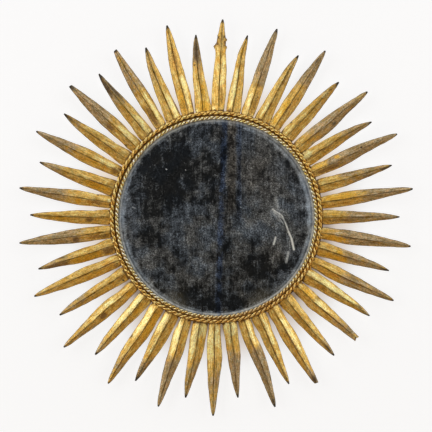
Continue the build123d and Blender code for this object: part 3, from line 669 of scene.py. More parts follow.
# length of the blackened point, as a share of the ray
BLACK_TIP = {1: 0.050, 2: 0.065, 3: 0.055, 4: 0.060, 5: 0.025, 6: 0.070, 7: 0.030, 8: 0.055, 9: 0.022, 10: 0.060,
             11: 0.035, 12: 0.050, 13: 0.025, 14: 0.070, 15: 0.025, 16: 0.030, 17: 0.0, 18: 0.050, 19: 0.010,
             20: 0.050, 21: 0.040, 22: 0.065, 23: 0.028, 24: 0.060, 25: 0.025, 26: 0.090, 27: 0.022, 28: 0.060,
             29: 0.030, 30: 0.055, 31: 0.030, 32: 0.050, 33: 0.028, 34: 0.050, 35: 0.045, 36: 0.065, 37: 0.025,
             38: 0.075, 39: 0.025, 40: 0.110, 41: 0.020, 42: 0.065, 43: 0.050, 44: 0.065}
# Marks: kind, share of the length, place across (-1 anticlockwise edge, 1 clockwise edge),
# half-length, half-width, strength. pale: painted highlight; warm: deep orange leaf; dull: tarnish;
# brown: dirt; red: bole showing; coal: charcoal bloom; pit: black.
MARKS = {
    1: (("brown", .14, .4, .10, .45, .5), ("pale", .03, -.6, .03, .35, 1.0), ("pale", .45, -.45, .20, .36, .55), ("pale", .44, .45, .20, .36, .85),
        ("brown", .23, .32, .045, .26, .45), ("coal", .23, .34, .05, .28, .5), ("pit", .045, .93, .04, .14, .8),
        ("brown", .34, -.45, .012, .10, .7), ("warm", .10, .35, .12, .5, .5), ("brown", .70, -.4, .05, .5, .35)),
    2: (("pale", .32, -.42, .27, .36, 1.3), ("brown", .32, .08, .016, .08, .8), ("brown", .57, -.35, .045, .18, .5),
        ("brown", .63, .2, .022, .14, .65), ("warm", .80, -.15, .08, .4, .6), ("brown", .015, -.5, .03, .5, .6),
        ("brown", .30, .93, .30, .10, .6), ("red", .58, .6, .10, .25, .4)),
    3: (("pale", .16, -.38, .14, .36, 1.0), ("brown", .16, .5, .17, .45, .55), ("pit", .035, .92, .02, .14, .8),
        ("coal", .35, 0, .05, .9, .55), ("coal", .72, -.72, .16, .2, .55), ("warm", .83, .02, .09, .22, .8),
        ("red", .93, -.1, .02, .4, .6), ("coal", .48, .45, .08, .4, .4)),
    4: (("pale", .17, -.42, .15, .34, .95), ("brown", .22, .08, .10, .14, .6), ("brown", .62, .25, .14, .24, .6),
        ("pale", .72, -.28, .13, .2, .6), ("coal", .62, .25, .12, .2, .35)),
    5: (("warm", .20, -.4, .20, .4, .9), ("pale", .12, -.45, .12, .3, .55), ("brown", .24, .12, .14, .16, .65),
        ("red", .30, .5, .20, .3, .35), ("coal", .86, -.4, .06, .35, .75), ("warm", .45, .25, .06, .2, .6),
        ("coal", .72, .1, .10, .5, .3)),
    6: (("pale", .07, -.35, .08, .3, .7), ("pit", .18, -.92, .018, .12, 1.0), ("pale", .78, -.2, .09, .3, .75),
        ("brown", .90, .55, .05, .3, .5)),
    7: (("brown", .05, -.3, .05, .6, .45), ("pale", .05, 0, .03, .4, .4), ("brown", .24, .05, .16, .12, .6),
        ("warm", .28, .5, .14, .3, .6), ("coal", .49, .55, .04, .32, .7), ("red", .50, .5, .06, .4, .5),
        ("brown", .74, .85, .22, .16, .75), ("pale", .91, -.12, .05, .3, .9)),
    8: (("pale", .03, -.45, .08, .45, 1.4), ("brown", .34, .14, .28, .16, .6), ("brown", .30, .6, .30, .35, .40),
        ("coal", .70, 0, .07, .5, .4), ("pale", .745, -.15, .012, .16, .9), ("pale", .79, -.05, .014, .18, 1.0),
        ("pale", .84, .1, .014, .2, 1.0), ("pale", .875, -.15, .010, .2, .8), ("pit", .767, .1, .010, .25, .7),
        ("pit", .815, -.3, .010, .25, .7), ("pit", .86, .35, .012, .25, .7), ("brown", .80, .6, .10, .3, .6)),
    9: (("warm", .08, -.4, .08, .4, .5), ("dull", .23, -.4, .06, .5, .8), ("warm", .295, -.55, .035, .22, 1.1),
        ("pale", .295, -.55, .025, .16, .5), ("brown", .17, .5, .19, .42, .80), ("pit", .585, -.30, .014, .16, 1.3),
        ("brown", .60, .6, .30, .35, .40), ("pale", .90, -.2, .05, .25, .6)),
    10: (("dull", .40, -.65, .08, .25, .7), ("brown", .67, .7, .14, .25, .65), ("coal", .90, .4, .08, .5, .9),
         ("pale", .92, -.35, .018, .3, .8)),
    11: (("warm", .20, -.4, .20, .4, .85), ("brown", .30, .1, .20, .14, .5), ("red", .22, .55, .16, .3, .5),
         ("coal", .55, .2, .16, .4, .35), ("pale", .765, 0, .03, .25, .6)),
    12: (("brown", .24, .5, .26, .38, .65), ("brown", .40, .1, .18, .14, .55), ("warm", .15, -.4, .12, .35, .45),
         ("pale", .85, 0, .05, .3, .6)),
    13: (("warm", .20, .5, .18, .36, .8), ("brown", .32, .08, .18, .12, .6), ("coal", .57, .35, .10, .35, .5),
         ("red", .57, .3, .10, .3, .4)),
    14: (("warm", .28, -.35, .045, .28, 1.0), ("warm", .24, .55, .24, .34, .7), ("brown", .44, .05, .18, .12, .75),
         ("coal", .93, .2, .08, .7, .8)),
    15: (("warm", .15, -.1, .05, .25, .7), ("coal", .50, -.45, .11, .3, .55), ("brown", .48, .05, .26, .14, .75),
         ("red", .32, .25, .10, .2, .6), ("warm", .20, .6, .14, .25, .6), ("brown", .88, .5, .12, .4, .5),
         ("pale", .92, -.1, .035, .3, .7), ("brown", .12, .9, .18, .12, .7)),
    16: (("pale", .36, -.42, .46, .42, 1.2), ("pale", .45, .4, .16, .3, .6), ("red", .25, .5, .20, .35, .45), ("brown", .36, .06, .24, .09, .5),
         ("coal", .83, -.4, .07, .4, .70), ("pale", .92, 0, .05, .3, .4)),
    17: (("warm", .15, -.3, .12, .45, .7), ("pale", .345, -.38, .06, .34, 1.9), ("pale", .46, -.45, .14, .34, .9),
         ("pale", .22, -.02, .05, .07, .9), ("pale", .33, .6, .07, .25, .6), ("brown", .62, .04, .34, .14, .85),
         ("coal", .83, -.5, .14, .35, .45), ("red", .82, -.45, .14, .3, .45), ("pit", .988, .15, .010, .9, .7),
         ("pale", .965, .1, .010, .35, 1.2), ("brown", .06, .8, .07, .3, .6)),
    18: (("pit", .40, -.75, .022, .16, .7), ("pit", .44, -.55, .022, .16, .8), ("pit", .48, -.35, .022, .16, .7),
         ("red", .28, .25, .10, .3, .6), ("pale", .25, -.4, .20, .3, .35), ("pale", .62, -.3, .12, .2, .5),
         ("coal", .88, 0, .10, .8, .65), ("pit", .70, -.75, .02, .14, .5)),
    19: (("coal", .09, -.85, .06, .2, .5), ("pale", .36, -.4, .32, .36, .95), ("brown", .48, .04, .32, .13, .85),
         ("coal", .60, .6, .22, .3, .35), ("coal", .95, 0, .06, 1.2, .8), ("red", .95, 0, .06, 1.2, .5)),
    20: (("pale", .26, -.42, .28, .34, .80), ("brown", .42, .05, .24, .11, .85), ("pit", .585, .85, .045, .14, .9),
         ("pale", .78, -.15, .10, .2, .5), ("coal", .93, 0, .05, .9, .5)),
    21: (("pale", .14, -.4, .13, .4, 1.0), ("pale", .25, -.45, .04, .3, 1.0), ("coal", .34, -.4, .05, .5, .5),
         ("coal", .62, .1, .34, .8, .42), ("brown", .32, .1, .18, .15, .7), ("coal", .95, 0, .07, 1.0, .8)),
    22: (("pale", .06, 0, .12, .9, 1.2), ("pale", .18, .4, .14, .4, .6), ("warm", .26, -.4, .12, .4, .5), ("brown", .50, .1, .16, .35, .35),
         ("coal", .75, 0, .15, .8, .35)),
    23: (("pale", .12, -.4, .18, .45, 1.0), ("pale", .20, .5, .26, .40, 1.1), ("warm", .22, -.4, .10, .3, .6),
         ("brown", .34, .03, .26, .07, .7), ("pale", .85, .08, .08, .25, .8), ("brown", .62, -.5, .20, .4, .4)),
    24: (("warm", .24, -.45, .14, .34, .6), ("pale", .24, .48, .22, .36, 1.2), ("pale", .06, -.1, .12, .9, 1.1),
         ("brown", .62, -.7, .22, .24, .6), ("brown", .16, 0, .12, .08, .6), ("pale", .72, .1, .12, .2, .5)),
    25: (("warm", .14, -.45, .14, .36, .6), ("pale", .08, -.4, .10, .4, .7), ("red", .34, -.45, .045, .3, .8), ("pale", .19, .46, .19, .38, 1.3),
         ("coal", .50, .05, .10, .5, .5), ("brown", .45, -.05, .22, .12, .6), ("pale", .88, .08, .08, .22, .7)),
    26: (("pale", .48, .25, .20, .16, .9), ("pale", .15, .5, .17, .4, 1.1), ("coal", .86, 0, .15, .9, .45),
         ("coal", .72, -.7, .14, .3, .6), ("brown", .40, -.6, .22, .3, .35)),
    27: (("warm", .20, -.45, .17, .4, 1.1), ("pale", .22, .5, .20, .36, 1.2), ("coal", .43, .85, .04, .16, .7),
         ("brown", .73, -.02, .22, .14, .8), ("red", .75, .05, .15, .15, .5), ("brown", .72, -.7, .2, .2, .5)),
    28: (("pale", .28, .46, .32, .38, 1.3), ("warm", .20, -.4, .18, .4, .6), ("brown", .55, -.05, .26, .12, .6)),
    29: (("warm", .09, -.45, .05, .38, 1.0), ("brown", .46, -.42, .05, .42, .95), ("coal", .46, -.42, .06, .42, .5),
         ("pale", .38, .45, .22, .3, .8), ("coal", .10, .85, .12, .2, .5), ("brown", .70, -.6, .20, .34, .55)),
    30: (("pit", .07, -.7, .018, .16, 1.2), ("brown", .08, -.3, .08, .5, .5), ("warm", .28, -.4, .14, .34, .5),
         ("coal", .56, .5, .10, .4, .4), ("red", .68, .02, .09, .14, .8), ("brown", .68, 0, .09, .14, .4)),
    31: (("warm", .30, -.4, .26, .36, .5), ("pale", .34, .45, .10, .3, .6), ("brown", .12, .04, .09, .12, .8),
         ("pale", .185, .08, .014, .10, 1.2), ("brown", .05, -.6, .05, .4, .6)),
    32: (("brown", .08, -.4, .09, .5, .85), ("warm", .37, -.45, .17, .42, 1.5), ("brown", .76, -.5, .18, .6, 1.0),
         ("coal", .66, .75, .09, .26, .7), ("pale", .30, .4, .15, .3, .3)),
    33: (("pit", .06, -.55, .055, .4, .8), ("brown", .16, -.5, .12, .4, .6), ("brown", .385, -.5, .04, .4, .9),
         ("red", .60, -.3, .2, .3, .4), ("pale", .93, .1, .04, .25, .4)),
    34: (("brown", .25, -.35, .06, .5, .75), ("coal", .25, -.35, .05, .4, .4), ("warm", .63, -.3, .16, .4, .6),
         ("pale", .42, .4, .04, .3, .4)),
    35: (("pale", .02, .2, .02, .3, .9), ("brown", .15, -.4, .13, .45, .5), ("red", .18, -.3, .12, .4, .5),
         ("warm", .35, -.5, .03, .3, 1.0), ("pit", .15, .88, .018, .12, 1.1), ("brown", .80, -.3, .12, .3, .5)),
    36: (("warm", .22, -.4, .18, .42, 1.0), ("brown", .24, .04, .14, .12, .8), ("brown", .62, -.75, .20, .2, .7),
         ("coal", .04, .4, .04, .3, .5)),
    37: (("pit", .05, -.6, .045, .3, .7), ("brown", .05, -.1, .05, .6, .7), ("warm", .30, -.4, .2, .36, .6),
         ("pale", .18, .45, .14, .32, .75), ("warm", .63, -.05, .05, .25, .9), ("coal", .72, .1, .10, .4, .4)),
    38: (("warm", .32, -.4, .26, .36, .5), ("red", .30, -.4, .22, .3, .3), ("brown", .40, .02, .26, .09, .75),
         ("coal", .92, 0, .09, .9, .7), ("pale", .08, .4, .06, .3, .5)),
    39: (("brown", .10, -.4, .10, .4, .5), ("pit", .095, -.88, .025, .14, 1.0), ("brown", .36, -.45, .07, .42, .75), ("pale", .18, .45, .16, .34, 1.1),
         ("red", .60, .0, .3, .5, .3), ("coal", .97, 0, .04, 1.2, .9)),
    40: (("pale", .17, .45, .13, .38, 1.1), ("coal", .80, -.5, .14, .5, .9), ("coal", .70, .6, .22, .35, .8),
         ("pale", .58, .0, .20, .10, .7), ("brown", .30, -.4, .22, .34, .35)),
    41: (("brown", .14, -.4, .15, .5, .75), ("pale", .22, .45, .18, .32, 1.1), ("warm", .90, -.1, .05, .4, 1.0),
         ("pale", .83, 0, .035, .3, .7), ("coal", .985, 0, .014, 1.2, .9), ("brown", .4, .9, .3, .12, .6)),
    42: (("pale", .18, .48, .18, .34, 1.2), ("pit", .665, .0, .014, .14, 1.2), ("pale", .70, .12, .03, .16, .9),
         ("brown", .15, .93, .14, .12, .8), ("brown", .28, .04, .22, .06, .6), ("coal", .93, -.2, .06, .6, .6)),
    43: (("warm", .16, -.4, .16, .42, .8), ("brown", .10, -.4, .12, .45, .5), ("pale", .32, .5, .12, .34, 1.3), ("pale", .12, .45, .10, .3, .6),
         ("red", .62, .05, .14, .5, .7), ("brown", .62, .1, .13, .4, .35), ("brown", .10, .9, .08, .12, .8)),
    44: (("pale", .02, -.85, .03, .25, 1.0), ("pit", .08, -.95, .04, .10, .8), ("warm", .06, .1, .08, .6, 1.3),
         ("warm", .26, .3, .14, .4, .7), ("pale", .28, -.45, .25, .3, .5), ("pit", .61, -.55, .014, .3, .9),
         ("coal", .80, 0, .19, 1.0, .75)),
}
KINDS = ("pale", "warm", "dull", "brown", "red", "coal", "pit")

# How far each ray's two edges stand out from the common shape, in units: the anticlockwise
# edge at 112, 124, 140 and 165 units from the centre, then the clockwise edge.
EDGES_AT = (107.0, 112.0, 124.0, 140.0, 165.0, 192.0)
EDGES = {
    1: (1.4, 0.5, -0.4, -0.2, -0.7, -0.3, -0.6, -0.5), 2: (-0.9, -0.7, -1.0, 0.8, 0.3, -0.1, -0.5, -1.5),
    3: (0.9, -0.2, -0.4, 0.1, 0.0, -0.5, -0.9, 0.0), 4: (-0.1, -0.6, -0.4, 0.8, 0.6, -0.7, -0.7, -0.8),
    5: (0.5, -0.3, 0.0, 0.4, -0.5, -0.5, 0.1, 0.1), 6: (-0.3, -0.5, -0.2, 0.4, 0.2, -0.2, 0.3, -0.1),
    7: (0.6, 0.3, -0.2, 0.0, 0.6, -0.8, 0.7, -0.3), 8: (0.6, -0.3, 0.4, 1.1, -0.1, -0.8, -0.9, -1.3),
    9: (0.1, -0.9, -0.4, 0.3, -0.4, -0.2, -0.1, -0.8), 10: (-0.4, -0.6, -0.7, -0.3, 0.0, -0.1, -0.1, 0.0),
    11: (-0.3, -0.2, 0.1, -0.3, 0.2, 0.2, -0.4, -0.4), 12: (-0.5, -0.9, -0.8, -0.2, 0.2, -1.0, -0.6, -0.5),
    13: (-0.5, -1.0, -0.9, -0.4, 0.1, 0.3, 0.6, -0.2), 14: (-0.4, -0.9, -1.1, -0.2, 0.2, 0.1, -0.1, -0.5),
    15: (-0.2, -0.3, -0.4, -0.7, -0.5, 0.4, 0.4, -0.1), 16: (-0.5, -0.2, -0.1, 0.7, 0.7, -0.5, -0.3, -1.1),
    17: (-0.1, 0.0, -0.9, -0.5, 0.6, 0.7, 0.1, -1.0), 18: (-0.3, -1.0, -0.9, 0.0, 1.0, -0.3, -0.4, 0.1),
    19: (0.5, -0.6, 0.5, -0.2, 0.4, -0.6, 0.5, 0.3), 20: (0.4, -0.6, -0.2, -0.2, 0.4, -1.3, -0.1, -0.1),
    21: (0.2, -1.5, 0.4, 0.6, 0.5, 0.4, -0.5, -1.5), 22: (-0.5, -0.4, 0.8, -0.4, 0.0, -0.8, -0.5, 0.2),
    23: (-0.5, -0.3, 1.2, 0.2, -0.1, 0.1, -0.2, 0.1), 24: (0.6, 1.0, 1.7, 0.2, -0.2, 0.2, -0.6, 0.1),
    25: (0.4, 0.6, 0.9, -0.2, -1.0, 0.2, -1.0, 0.1), 26: (-0.4, 0.5, 0.8, 0.1, 0.4, 0.6, 0.7, -0.2),
    27: (0.4, 0.7, 1.2, -0.3, 1.4, -0.4, -0.5, 1.0), 28: (1.0, 0.9, -0.1, 0.1, -0.9, -1.1, -0.7, 0.5),
    29: (-0.3, 0.2, -0.5, -0.1, -0.4, -1.1, 0.9, 0.2), 30: (0.1, -0.5, -0.5, 0.0, -0.7, -1.4, -0.3, 0.2),
    31: (0.2, 0.0, -0.1, 0.4, 0.1, -1.3, 0.0, -0.3), 32: (0.7, 0.1, 0.9, -0.1, 0.4, -1.0, 0.1, 0.1),
    33: (0.6, 0.3, 0.4, 0.1, 0.1, -0.5, -0.3, 0.3), 34: (0.2, 0.2, 0.9, 0.6, 0.1, -1.4, -0.6, -0.4),
    35: (0.1, -0.6, 0.3, 0.4, 0.0, -0.9, 0.1, -0.3), 36: (1.0, 0.4, 0.9, 0.6, 0.4, -0.2, 0.4, -0.4),
    37: (-0.4, -0.3, 0.7, 0.6, -0.3, -0.7, 0.0, 0.1), 38: (0.2, -0.4, 0.6, 0.5, 0.7, -0.8, 0.2, -0.5),
    39: (0.7, -0.3, 0.3, 0.8, 1.0, -0.2, 0.4, 0.2), 40: (0.7, -0.3, 0.7, 0.5, -0.3, -0.4, 0.0, -0.3),
    41: (-0.4, -1.0, -0.1, 0.7, 0.0, -0.7, -0.2, -0.3), 42: (0.3, -0.1, 0.8, 1.3, 0.4, -0.4, -0.8, -0.6),
    43: (0.5, 0.2, 0.2, 1.1, -0.2, -0.3, -1.1, -0.3), 44: (0.1, -0.5, 0.1, 0.5, 1.3, -0.1, -1.1, -0.8),
}

FRONT_V = np.array([-1, -0.955, -0.86, -0.72, -0.56, -0.40, -0.26, -0.15, -0.07, 0,
                    0.07, 0.15, 0.26, 0.40, 0.56, 0.72, 0.86, 0.955, 1.0])
BACK_V = np.array([0.97, 0.82, 0.6, 0.38, 0.18, 0.0, -0.18, -0.38, -0.6, -0.82, -0.97])
RIDGE_DEPTH = 0.02092
TAIL_RADIUS = 0.1797
SHEET = 0.0012


def ray_piece(number, material):
    base_angle, tip_angle, reach, missing, straight, curl = RAYS[number - 1]
    rng = np.random.default_rng(7000 + number)
    long_ray = number % 2 == 1
    shape, full_tip = (LONG_SHAPE, LONG_TIP) if long_ray else (SHORT_SHAPE, SHORT_TIP)
    slope = math.tan(math.radians(25.5 if long_ray else 21.3))

    def on_circle(angle, units):
        a = math.radians(angle)
        return np.array([math.sin(a), math.cos(a)]) * units * U

    base = on_circle(base_angle, 107.0)
    tip = on_circle(straight, reach)
    run = np.linalg.norm(tip - base)
    along = (tip - base) / run
    across = np.array([along[1], -along[0]])
    tail = 107.0 * U - TAIL_RADIUS
    length = run + tail
    scale = run / U / (reach - 107.0)
    us, ws = [], []
    for u, w in shape:
        share = min(1.0, max(0.0, (u - 125.0) / (full_tip - 125.0)))
        u = u + (reach + missing - full_tip) * share
        us.append((u - 107.0) * U * scale + tail)
        ws.append(w * U / 2)

    # stations along the ray, closer near both ends
    n = 128
    q = np.linspace(0, 1, n)
    s = length * (q + 0.06 * np.sin(TAU * q) / TAU * 1.0)
    s = np.sort(np.clip(s, 0, length))
    fine = np.linspace(-0.01, length + 0.02, 900)
    w_fine = np.interp(fine, us, ws)
    kernel = np.exp(-0.5 * (np.arange(-30, 31) * (fine[1] - fine[0]) / 0.0022) ** 2)
    w_fine = np.convolve(np.pad(w_fine, 30, mode="edge"), kernel / kernel.sum(), "valid")
    w = np.interp(s, fine, w_fine)
    along_share = np.clip((s - tail) / run, 0, 1)
    if missing == 0:
        w = np.minimum(w, np.sqrt(np.maximum((length - s) + 0.00025, 0) * 0.0044))
    # rounded corners at the base
    corner = np.clip((0.1915 - (s - tail + 107 * U)) / 0.0105, 0, 1)
    w = w * (1 - 0.10 * corner ** 2)

    # cut edges are a little uneven, each side in its own way
    def wander(count, seed, amp):
        return (fbm(np.stack([s / count, s * 0 + seed, s * 0], 1), seed, 3) - 0.5) * 2 * amp
    fade = smooth(0, 0.015, length - s)
    left = w * (1 + 0 * s) + wander(0.016, 11 + number, 0.00055) * fade + wander(0.005, 211 + number, 0.00022) * fade
    right = w + wander(0.016, 411 + number, 0.00055) * fade + wander(0.005, 611 + number, 0.00022) * fade
    bend_side = wander(0.06, 811 + number, 0.0007) * smooth(0, 0.03, s)
    radial = (s - tail) / U / scale + 107
    trim = EDGES[number]
    out_l = np.interp(radial, EDGES_AT, (trim[0],) + trim[:4] + (0.0,)) * U
    out_r = np.interp(radial, EDGES_AT, (trim[4],) + trim[4:] + (0.0,)) * U
    # where both edges move the same way, the ray leans and its ridge goes along
    lean = (out_r - out_l) / 2 * smooth(110.0, 132.0, radial)
    left = np.maximum(left + out_l + lean, 0.25 * w + 0.0003)
    right = np.maximum(right + out_r - lean, 0.25 * w + 0.0003)
    bend_side = bend_side + lean
    rough_zone = np.zeros_like(s)
    if number == 1:
        # crusted lumps on both edges
        r_here = (s - tail) / U / scale + 107
        rough_zone = smooth(164.5, 172.0, r_here) * smooth(186.5, 181.0, r_here)
        left = left + rough_zone * (0.0010 + 0.0084 * np.maximum(0, fbm(np.stack([s / 0.0048, s * 0 + 3, s * 0], 1), 5, 2) - 0.38))
        right = right + rough_zone * (0.0008 + 0.0080 * np.maximum(0, fbm(np.stack([s / 0.0044, s * 0 + 9, s * 0], 1), 8, 2) - 0.38))
    left, right = np.maximum(left, 0.00035), np.maximum(right, 0.00035)

    centre = curl * U * np.clip((along_share - 0.45) / 0.55, 0, 1) ** 2.2 + bend_side
    if number == 17:
        centre = centre + 0.0011 * smooth(0.18, 0.26, along_share) * smooth(0.42, 0.28, along_share)

    # small bends towards and away from the wall, and a slight roll
    free = smooth(0.08, 0.5, along_share)
    bow = rng.uniform(-0.0016, 0.0018) * free * along_share + rng.uniform(-0.0012, 0.0012) * along_share ** 3
    bow = bow + wander(0.045, 1011 + number, 0.0006) * smooth(0.05, 0.25, along_share)
    roll = rng.uniform(-0.05, 0.05) * smooth(0.0, 0.4, along_share)
    if number == 17:
        bow = bow - 0.0022 * np.exp(-((along_share - 0.25) / 0.05) ** 2)
        bow = bow + 0.0025 * smooth(0.8, 1.0, along_share)
    ridge = RIDGE_DEPTH + bow

    loops, meta = [], []
    seed_shift = np.array([number * 1.37, number * 0.71, number * 0.29])
    nf, nb = len(FRONT_V), len(BACK_V)
    for k in range(len(s)):
        lw, rw = left[k], right[k]

        def side(v):
            return np.where(v < 0, v * lw, v * rw)

        xf = side(FRONT_V)
        rounding = min(0.0008, 0.35 * w[k])
        drop_f = slope * (np.sqrt(xf ** 2 + rounding ** 2) - rounding)
        p = np.stack([np.full(nf, s[k]) / 0.011, xf / 0.006, np.full(nf, number * 3.1)], 1)
        beaten = (fbm(p, 50 + number, 3) - 0.5) * 0.0011
        p2 = np.stack([np.full(nf, s[k]) / 0.0035, xf / 0.0026, np.full(nf, number * 1.9)], 1)
        beaten = beaten + (value_noise(p2, 90 + number) - 0.5) * 0.00022
        quiet = min(1.0, w[k] / 0.006)
        bowed = 0.00035 * np.sin(np.pi * np.abs(FRONT_V)) * quiet
        depth_f = ridge[k] - drop_f + roll[k] * xf + (beaten * (0.25 + 0.75 * np.abs(FRONT_V)) + bowed) * quiet
        if rough_zone[k] > 0:
            crust = fbm(np.stack([np.full(nf, s[k]) / 0.0022, xf / 0.0022, np.full(nf, 4.0)], 1), 77, 3)
            depth_f = depth_f + rough_zone[k] * (0.2 + 0.8 * np.abs(FRONT_V)) * 0.0024 * np.maximum(0, crust - 0.45) * 1.5
        xb = side(BACK_V)
        upright = SHEET * (0.72 + 0.28 * smooth(0.0008, 0.005, w[k])) / math.cos(math.atan(slope))
        drop_b = slope * (np.sqrt(xb ** 2 + (rounding * 0.5) ** 2) - rounding * 0.5)
        depth_b = ridge[k] - upright - drop_b + roll[k] * xb + np.interp(BACK_V, FRONT_V, beaten) * 0.5 * quiet
        lower = np.minimum(depth_b, np.interp(BACK_V, FRONT_V, depth_f) - 0.0004)
        depth_b = lower
        rx, ry = rw + 0.00010, (depth_f[-1] + depth_b[0]) / 2
        lx, ly = -lw - 0.00010, (depth_f[0] + depth_b[-1]) / 2
        xs = np.concatenate([xf, [rx], xb, [lx]])
        ds = np.concatenate([depth_f, [ry], depth_b, [ly]])
        loops.append((xs, ds))
    m_count = nf + nb + 2
    all_x = np.array([a for a, _ in loops])
    all_d = np.array([d for _, d in loops])
    s_grid = np.repeat(s[:, None], m_count, 1)
    if number == 17:
        # square, torn end with a notch
        end = smooth(0.985, 1.0, s_grid / length)
        s_grid = s_grid + end * (0.0012 * (np.abs(all_x) / 0.004) - 0.0016 * np.exp(-(all_x / 0.0013) ** 2))
    elif missing:
        end = smooth(0.985, 1.0, s_grid / length)
        s_grid = s_grid - end * (all_x / 0.003 * 0.0006 * (1 if number % 4 == 3 else -1) + 0.0003)
    off = all_x + centre[:, None]
    start = base - along * tail
    px = start[0] + along[0] * s_grid + across[0] * off
    pz = start[1] + along[1] * s_grid + across[1] * off
    verts = np.stack([px, -all_d, pz], 2).reshape(-1, 3)
    verts = np.clip(verts, np.array(cad_box[0]) + 1e-6, np.array(cad_box[1]) - 1e-6)
    faces = []
    for k in range(len(s) - 1):
        a, b = k * m_count, (k + 1) * m_count
        for j in range(m_count):
            j2 = (j + 1) % m_count
            faces.append((a + j, a + j2, b + j2, b + j))
    faces.append(tuple(range(m_count - 1, -1, -1)))
    last = (len(s) - 1) * m_count
    faces.append(tuple(last + j for j in range(m_count)))

    # ---- wear, as attributes that the material reads
    v_all = np.concatenate([FRONT_V, [1.0], BACK_V, [-1.0]])
    vg = np.repeat(v_all[None, :], len(s), 0)
    qg = np.repeat(along_share[:, None], m_count, 1)
    is_back = np.zeros(m_count)
    is_back[nf + 1:nf + 1 + nb] = 1.0
    is_back[nf], is_back[-1] = 0.35, 0.35
    bg = np.repeat(is_back[None, :], len(s), 0)
    mark = {kind: np.zeros_like(qg) for kind in KINDS}
    for kind, at_q, at_v, half_q, half_v, amount in MARKS.get(number, ()):
        spread = np.abs((qg - at_q) / half_q) ** 2.4 + np.abs((vg - at_v) / half_v) ** 2.4
        mark[kind] = np.maximum(mark[kind], amount * np.exp(-0.9 * spread))
    start_q, strength = DULL_FROM[number]
    slow = fbm(np.stack([qg.ravel() * 5, vg.ravel() * 0.7, qg.ravel() * 0 + number], 1), 300 + number, 2).reshape(qg.shape)
    tarnish = strength * smooth(start_q - 0.20, start_q + 0.24, qg) + (slow - 0.5) * 0.5 + 0.06
    tarnish = tarnish + 0.10 * smooth(0.75, 1.0, np.abs(vg)) + mark["dull"] - 0.55 * np.minimum(mark["pale"], 1.0)
    tarnish = tarnish - 0.45 * np.minimum(mark["warm"], 1.0) - 0.13 * smooth(0.45, 0.0, qg)
    tip_len = BLACK_TIP[number]
    if tip_len > 0:
        # the black point is tarnish; its extra weight on the lower edge of the side rays is painted shade
        shaded_lower_side = math.sin(math.radians(base_angle)) * vg
        soot = smooth(1 - 1.75 * tip_len, 1.0, qg) * (0.92 + 0.12 * np.abs(vg) + 0.42 * shaded_lower_side)
    else:
        soot = np.zeros_like(qg)
    soot = np.maximum(soot, 0.82 * mark["pit"])
    lumps = fbm(np.stack([qg.ravel() * 26, vg.ravel() * 2.2, qg.ravel() * 0 + number * 1.7], 1), 900 + number, 2).reshape(qg.shape)
    q_root = np.repeat(((s - tail) / run)[:, None], m_count, 1)
    lie = 0.009 * math.cos(math.radians(base_angle - 300.0))
    # painted shade and grime at the root of each ray under the rope; it reaches a little further out towards the upper
    # left, and also runs along the edges near the root
    rope_shade_and_grime = smooth(0.016 + lie, -0.022 + lie, q_root) * rng.uniform(0.55, 0.80) + smooth(0.080, -0.015, q_root) * np.maximum(lumps - 0.5, 0) * 2.4
    rope_shade_and_grime = rope_shade_and_grime + 0.40 * smooth(0.34, 0.04, qg) * smooth(0.66, 1.0, np.abs(vg))
    line_to = rng.uniform(0.62, 0.85)
    crease = rng.uniform(0.75, 1.05) * smooth(-0.02, 0.10, qg) * (0.30 + 0.70 * smooth(line_to + 0.15, line_to - 0.1, qg))
    side_w = np.where(vg < 0, left[:, None], right[:, None])
    from_ridge = vg * side_w * 1000.0
    from_edge = (1 - np.abs(vg)) * side_w * 1000.0
    if number == 1:
        rope_shade_and_grime = np.maximum(rope_shade_and_grime, rough_zone[:, None] * (0.25 + 0.40 * np.abs(vg)))
    rp = np.stack([s_grid.ravel(), off.ravel(), all_d.ravel()], 1) + seed_shift
    attributes = {
        "rp": rp, "tarnish": tarnish.ravel(), "soot": soot.ravel(), "pale": mark["pale"].ravel(),
        "brown": mark["brown"].ravel(), "red": mark["red"].ravel(), "coal": mark["coal"].ravel(),
        "rope_shade_and_grime": rope_shade_and_grime.ravel(), "crease": crease.ravel(), "back": bg.ravel(),
        "warm": (mark["warm"] + rng.uniform(0, 0.12)).ravel(),
        "from_ridge": from_ridge.ravel(), "from_edge": from_edge.ravel(),
    }
    node = f"ray_{number:02d}_{'long' if long_ray else 'short'}"
    ob = make_object(node.replace("ray_", "gilt_ray_"), verts, faces, attributes, sharp=50)
    ob.data.materials.append(material)
    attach(ob, "mirror")
    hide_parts(node)
    return ob


ray_material = gilt_ray_material()
for number in range(1, 45):
    ray_piece(number, ray_material)


